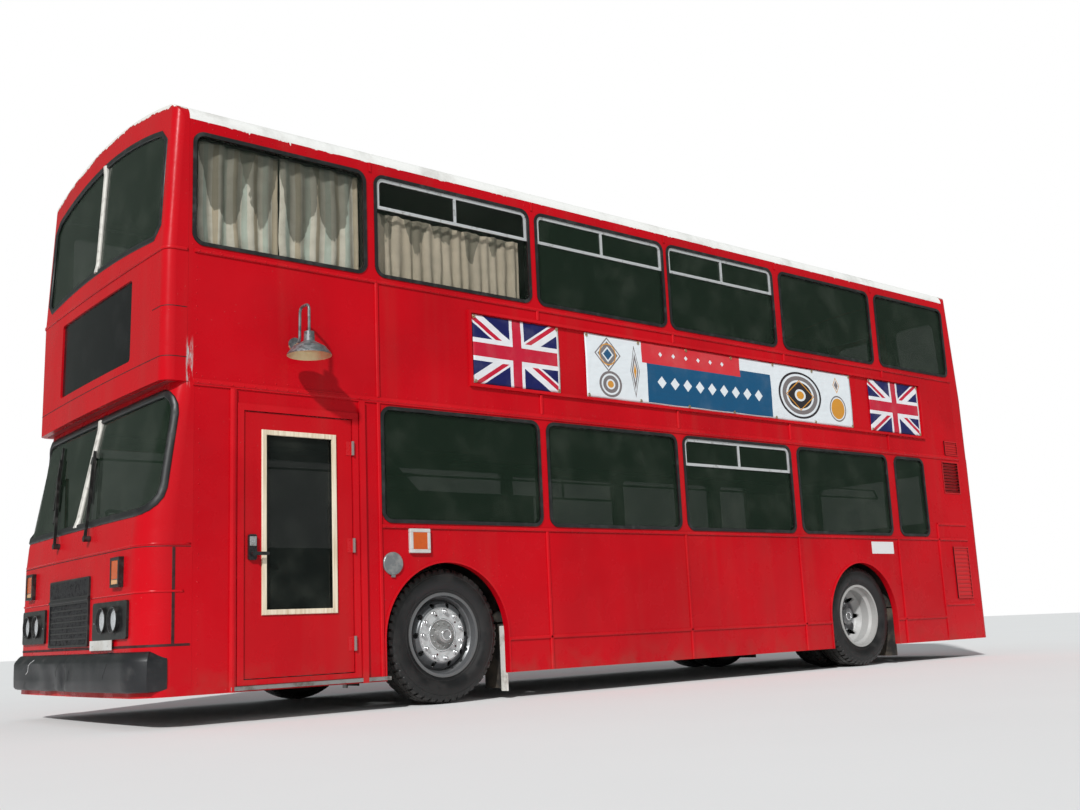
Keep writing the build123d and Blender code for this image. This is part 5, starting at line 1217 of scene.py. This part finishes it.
def bumper_marks(name, finish, marks):
    """Wandering lines on the bumper. Each is a thickness and its (y, z) knots."""
    parts = []
    for thick, *knots in marks:
        line = []
        for (y0, z0), (y1, z1) in zip(knots, knots[1:]):
            for share in (0.0, 0.25, 0.5, 0.75):
                wobble = 0.005 * noise.noise(Vector((y0 * 40 + share * 9, z0 * 40, 2.0)))
                y, z = y0 + (y1 - y0) * share + wobble, z0 + (z1 - z0) * share
                line.append(on_face(y, z, 0.0, bumper_shell))
        parts.append(sweep(line, bar(thick, -0.003, 0.0012)))
    new_piece(name, *several(parts), finish, "body")


bumper_marks("bumper_cracks", "seam_black", [
    (0.004, (0.86, 0.40), (0.80, 0.33), (0.79, 0.30)),
    (0.006, (0.10, 0.425), (0.06, 0.36), (0.085, 0.30), (0.05, 0.262)),
    (0.008, (-0.03, 0.40), (-0.09, 0.345), (-0.075, 0.31)),
    (0.003, (0.16, 0.36), (0.155, 0.30), (0.10, 0.285))])
bumper_marks("bumper_scratches", "label_white",
             [(0.004, (-0.66, 0.435), (-0.75, 0.40), (-0.78, 0.35), (-0.82, 0.33))])
print("marks on the bumper done")

# %% [markdown]
# ## Wheels
# A tyre is one closed ring with ribs, grooves and shoulder blocks. Its outline stays in the CAD tyre's
# own outline. The nuts and their washers are stamped round a circle by the same Geometry Nodes tree.

# %% Tyres with a tread
def tread(offset, cut):
    """A row of the tread at an offset from its middle, and how deep the lugs' gaps are there."""
    return offset, 0.4848 - 0.017 * (offset / 0.1175) ** 2, cut, 0


half_profile = [(0.112, 0.288, 0, 0), (0.1118, 0.303, 0, 0), (0.1175, 0.316, 0, 0), (0.1205, 0.322, 0, 0),
                (0.1190, 0.326, 0, 0), (0.1258, 0.340, 0, 0), (0.1300, 0.350, 0, 1), (0.1345, 0.366, 0, 1),
                (0.1358, 0.392, 0, 1), (0.1345, 0.414, 0, 1), (0.1320, 0.424, 0, 0), (0.1338, 0.427, 0, 0),
                (0.1290, 0.444, 0.002, 0), (0.1240, 0.456, 0.007, 0), (0.1172, 0.4665, 0.011, 0),
                tread(0.100, 0.011), tread(0.083, 0.011), (0.0825, 0.462, 0, 0), (0.0735, 0.462, 0, 0),
                tread(0.073, 0.003), tread(0.035, 0.003), (0.0345, 0.464, 0, 0), (0.0255, 0.464, 0, 0),
                tread(0.025, 0.002)]
tyre_rows = half_profile + [(-o, r, cut, pad) for o, r, cut, pad in reversed(half_profile)]
tyre_rows += [(o, r, 0, 0) for o, r in ((-0.088, 0.288), (-0.112, 0.385), (-0.094, 0.442), (0.094, 0.442),
                                        (0.112, 0.385), (0.088, 0.288))]
lug_count, lug_steps = 50, (0.0, 0.64, 0.70, 0.94)
sidewall_pads = ((195, 262), (22, 78), (282, 290), (296, 304), (310, 318), (324, 332), (112, 160))


def tyre_mesh(x, y, sign):
    """One tyre about its axle line, with lugs cut into its shoulders."""
    points = []
    for lug in range(lug_count):
        for column, share in enumerate(lug_steps):
            turn = 2 * math.pi * (lug + share) / lug_count
            on_pad = any(a < math.degrees(turn) % 360 < b for a, b in sidewall_pads)
            for offset, radius, cut, pad in tyre_rows:
                reach = radius - (cut if column > 1 else 0)
                across = offset + (math.copysign(0.0016, offset) if pad and on_pad else 0)
                points.append((x + reach * math.cos(turn), y + sign * across,
                               axle_z + reach * math.sin(turn)))
    return points, between_rings(lug_count * len(lug_steps), len(tyre_rows), closed=True)


outer_y, inner_y = 1.062, 0.737
twin_y = (outer_y + inner_y) / 2
wheel_sets = [(f"{end}_{side}", sign, x, offsets, f"{end}_tyre", f"{end}_{side}_wheel{s}",
               f"{end}_{side}_tyre{s}")
              for end, x, offsets, s in (("front", front_axle_x, [outer_y], ""),
                                         ("rear", rear_axle_x, [outer_y, inner_y], "s"))
              for side, sign in (("left", 1), ("right", -1))]
for name, sign, x, offsets, finish, body, node in wheel_sets:
    for number, offset in enumerate(offsets):
        tyre = new_piece(f"{name}_tread_{number + 1}", *tyre_mesh(x, sign * offset, sign), finish, body,
                         smooth=True)
        tyre.data.set_sharp_from_angle(angle=math.radians(32))
        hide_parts(node)
print("tyre faces", len(tyre.data.polygons))

# %% Nuts, washers and hub rings
nut_rows = [(0.0185, -0.002), (0.0185, 0.004), (0.0140, 0.005), (0.0140, 0.020), (0.0115, 0.026),
            (0.0060, 0.030)]
bolt_rows = [(0.0065, -0.001), (0.0065, 0.006), (0.0045, 0.009)]
plug_rows = [(0.0075, 0.0), (0.0075, 0.0012)]
hub_ring = [(0.030, 0.0), (0.030, 0.006), (0.036, 0.010), (0.043, 0.006), (0.043, 0.0)]
seat_ring = [(0.104, 0.0), (0.104, 0.004), (0.110, 0.007), (0.118, 0.004), (0.118, 0.0)]
edge_ring = [(0.184, -0.001), (0.184, 0.003), (0.188, 0.0045), (0.1905, 0.002), (0.1905, -0.001)]
for name, sign, x, _, _, body, _ in wheel_sets:
    in_front = x > 0
    face_y = sign * (outer_y + 0.092 if in_front else twin_y + 0.012)
    hub_y = sign * ((outer_y if in_front else twin_y) + 0.150)
    for label, radius, count, rows, sides, finish in (
            ("nuts", 0.1675, 10, nut_rows, 10, "nut_steel"),
            ("hub_bolts", 0.086, 10, bolt_rows, 6, "nut_steel"),
            ("plugs", 0.1445 if in_front else 0.1400, 5, plug_rows, 12, "seam_dark")):
        path = [(x + a, face_y, axle_z + b) for a, b in circle(radius, 60)]
        length = sum((Vector(path[i]) - Vector(path[i - 1])).length for i in range(len(path)))
        stamped(f"{name}_{label}", [path], spun(rows, sides), length / count, finish, body,
                turn=(-math.pi / 2 * sign, 0, 0), smooth=label == "nuts", closed=True)
    rings = ((hub_ring, 40, hub_y), (seat_ring, 48, face_y), (edge_ring, 64, face_y))[:3 if in_front else 2]
    new_piece(f"{name}_hub_rings", *several([spun(rows, sides, (x, y, axle_z), sign, closed=True)
                                             for rows, sides, y in rings]), "nut_steel", body, smooth=True)
print("wheel pieces", len([o for o in bpy.data.objects if "nuts" in o.name]))

# %% Mudflaps
def on_both_sides(x0, x1, y0, y1, z0, z1):
    """The corners of a block on each side of the bus."""
    return [((x0, y0, z0), (x1, y1, z1)), ((x0, -y1, z0), (x1, -y0, z1))]


boxes("mudflaps", on_both_sides(1.882, 1.888, 0.93, 1.205, 0.075, 0.545)
      + on_both_sides(-3.066, -3.060, 0.64, 1.205, 0.075, 0.545), "road_black", "body", 0.002)
boxes("mudflap_edges", on_both_sides(1.879, 1.892, 1.135, 1.208, 0.055, 0.530), "flap_white", "body", 0.002)
print("mudflaps done")

# %% [markdown]
# ## Small things on the side
# The door has a metal sill and a keypad over its lever, the round cap has a tab, and a blank label
# sits over the rear wheel. Rivets run in arcs above the wheels and up each panel edge.

# %% Door sill, keypad, cap tab and label
boxes("door_sill", [((2.93, 1.2505, 0.198), (4.10, 1.2690, 0.224))], "tread_plate", "body", 0.003)
keys = [(3.937 + 0.014 * column, 1.107 + 0.013 * row) for row in range(3) for column in range(3)]
boxes("door_keypad", [((3.932, 1.2715, 1.100), (3.978, 1.2760, 1.160))]
      + [((x, 1.2755, z), (x + 0.009, 1.2785, z + 0.008)) for x, z in keys], "nut_steel", "entrance_door")
boxes("cap_tab", [((2.878, 1.2505, 0.893), (2.908, 1.262, 0.915))], "cap_grey", "body")
boxes("side_label", [((-3.11, 1.2495, 1.088), (-2.74, 1.2515, 1.208))], "label_white", "body")
print("side pieces done")

# %% Raised beads along the seams
seam_xs, rear_x = (1.480, -0.070, -1.600, -3.205), -4.497


def uprights(xs, *spans):
    """Lines up the side at each x, over spans of (low z, high z)."""
    return [((x, low), (x, high)) for x in xs for low, high in spans]


bead_lines = uprights(seam_xs, (0.192, 1.234)) + uprights([2.988], (0.192, 2.121), (2.165, 3.008))
bead_lines += uprights([-3.950], (0.540, 1.402))
bead_lines += [((fore_x, z), (aft_x, z)) for fore_x, aft_x, z in (
    (-3.950, rear_x, 0.560), (-3.950, rear_x, 1.410), (2.975, rear_x, 1.247), (4.355, rear_x, 2.143),
    (4.355, rear_x, 3.019), (1.882, -1.980, 0.434), (-3.071, -3.940, 0.434))]
over_banner = {1: uprights(seam_xs, (2.165, 2.318), (2.932, 3.008)), -1: uprights(seam_xs, (2.165, 3.008))}
bead_section = [(-0.013, -0.003), (0.013, -0.003), (0.013, 0.0085), (0.008, 0.0128), (-0.008, 0.0128),
                (-0.013, 0.0085)]
for side_name, sign in both_sides:
    beads = [sweep([(Vector((x, sign * side_y, z)), Vector((0, sign, 0))) for x, z in line], bead_section)
             for line in bead_lines + over_banner[sign]]
    new_piece(f"seam_beads_{side_name}", *several(beads), "red_on_trim", "body")
print("beads", len(bead_lines))

# %% Bare rivets round the arches and up the panels
arcs = [[(x + radius * math.cos(math.radians(a)), 0.465 + radius * math.sin(math.radians(a)))
         for a in range(first, last + 1, 4)]
        for x in (front_axle_x, rear_axle_x) for radius, first, last in ((0.598, 8, 172), (0.690, 30, 150))]
columns = uprights((1.455, 1.505, -0.045, -0.095, -1.575, -1.625, -3.18, -3.23), (0.46, 1.22))
columns += [((x, z0), (x, z1)) for x, z0, z1 in (
    (4.315, 0.26, 2.10), (4.34, 2.20, 3.00), (4.372, 3.06, 3.90), (2.963, 1.30, 2.10), (-4.46, 1.30, 2.10),
    (-3.925, 0.24, 1.38))]
levels = [((fore_x, z), (aft_x, z)) for fore_x, aft_x, z in (
    (1.46, -0.05, 0.225), (-0.09, -1.58, 0.225), (1.46, -0.05, 0.412), (-0.09, -1.58, 0.412),
    (4.30, -4.46, 2.185), (2.93, -4.46, 1.222), (4.32, -4.46, 3.890))]
side_rivets("arch_rivets", arcs, side_y, dome(0.0052, 0.0034), 0.098)
side_rivets("panel_rivets", columns + levels, side_y, dome(0.0050, 0.0026), 0.086)
print("rivet faces", sum(len(o.data.polygons) for o in bpy.data.objects if "rivets" in o.name))

# %% [markdown]
# ## Wipers, wheel and what shows through the glass
# Each wiper arm carries a rubber blade in a slim carrier. Inside, a steering wheel stands over the
# dash, and a dark board stands behind the first window downstairs.

# %% Wiper blades
blades = []
for (y0, z0), (y1, z1) in (((0.175, 1.47), (-0.055, 2.035)), ((-0.565, 1.40), (-0.800, 2.00))):
    spots = [on_face(y0 + (y1 - y0) * i / 12, z0 + (z1 - z0) * i / 12, 0.013) for i in range(13)]
    holder, facing = spots[6][0] + spots[6][1] * 0.004, spots[6][1]
    blades.append(sweep(spots, bar(0.010, -0.010, 0.004)))
    blades.append(sweep([(p + n * 0.010, n) for p, n in spots[2:-2]], bar(0.016, -0.004, 0.004)))
    blades.append(sweep([(holder, facing), (holder + Vector((-0.01, 0.0, 0.05)), facing)],
                        bar(0.026, -0.006, 0.018)))
new_piece("wiper_blades", *several(blades), "satin_black", "body")
print("blades", len(blades))

# %% Steering wheel and the board inside
wheel_centre, tilt = Vector((4.02, -0.60, 1.40)), Matrix.Rotation(math.radians(-28), 4, "Y")


def on_wheel(radius, turn, height):
    """A point of the tilted steering wheel."""
    return wheel_centre + tilt @ Vector((radius * math.cos(turn), radius * math.sin(turn), height))


rim_radius, rim_thick, rim_sides, roll_sides = 0.235, 0.013, 48, 10
rim_turns = [2 * math.pi * i / rim_sides for i in range(rim_sides)]
rim_rolls = [-2 * math.pi * k / roll_sides for k in range(roll_sides)]
rim_points = [on_wheel(rim_radius + rim_thick * math.cos(roll), turn, rim_thick * math.sin(roll))
              for turn in rim_turns for roll in rim_rolls]
rim = (rim_points, between_rings(rim_sides, roll_sides, closed=True))
upright_way, sideways_way = tilt @ Vector((0, 0, 1)), Vector((0, 1, 0))
spokes = [sweep([(wheel_centre, upright_way), (on_wheel(0.232, math.radians(turn), 0), upright_way)],
                bar(0.030, -0.006, 0.006)) for turn in (20, 160, 270)]
column = sweep([(on_wheel(0, 0, -0.30), sideways_way), (on_wheel(0, 0, 0.012), sideways_way)],
               circle(0.030, 12))
new_piece("steering_wheel", *several([rim, *spokes, column]), "dash_black", "body", smooth=True)
boxes("board_inside", [((1.545, 1.160, 1.262), (2.935, 1.185, 1.520))], "seam_black", "body", 0.004)
print("inside pieces done")

# %% [markdown]
# ## The roof
# Metal straps cover the roof's joints. Each follows the roof's own section, met by rays from above.

# %% Roof straps
roof_skin = skin_of("roof")
straps = []
for x in (2.988, *seam_xs, -4.40):
    spots = []
    for i in range(41):
        angle = math.radians(8 + 164 * i / 40)
        y, z = math.cos(angle), math.sin(angle)
        spots.append(touch(roof_skin, (x, y * 2.1, 3.4 + z * 2), Vector((0, -y * 0.6, -z)).normalized()))
    straps.append(sweep([s for s in spots if s[0] is not None], bar(0.046, -0.002, 0.003)))
new_piece("roof_straps", *several(straps), "roof_white", "body", smooth=True)
print("straps", len(straps))

# %% Grommets in the cloths
grommet_rows = [(0.006, 0.0), (0.006, 0.0016), (0.011, 0.0022), (0.014, 0.0012), (0.014, 0.0)]
grommets, edge = [], 0.018
for fore_x, aft_x, *_ in cloths.values():
    count = max(1, round((fore_x - aft_x) / 0.60))
    for i in range(count + 1):
        x = fore_x - edge - (fore_x - aft_x - 2 * edge) * i / count
        grommets += [spun(grommet_rows, 18, (x, 1.2625, z), 1, closed=True)
                     for z in (cloth_low_z + edge, cloth_low_z + cloth_height - edge)]
new_piece("cloth_grommets", *several(grommets), "brass", "body", smooth=True)
print("grommets", len(grommets))

# %% [markdown]
# ## Floor for the picture
# A plain pale floor catches the shadow. It isn't part of the bus.

# %% Floor
floor_pale, reach = (0.80, 0.80, 0.79), 70
floor_finish = Finish("studio_floor", floor_pale, 0.9)
floor_finish.set(Base_Color=floor_finish.blend(floor_finish.grain(0.6, 2), floor_pale, (0.77, 0.77, 0.76)))
floor_mesh = bpy.data.meshes.new("studio_floor")
floor_mesh.from_pydata([(-reach, -reach, 0), (reach, -reach, 0), (reach, reach, 0), (-reach, reach, 0)], [],
                       [(0, 1, 2, 3)])
floor_mesh.materials.append(floor_finish.material)
studio_floor = bpy.data.objects.new("studio_floor", floor_mesh)
bpy.context.scene.collection.objects.link(studio_floor)
print("floor set")
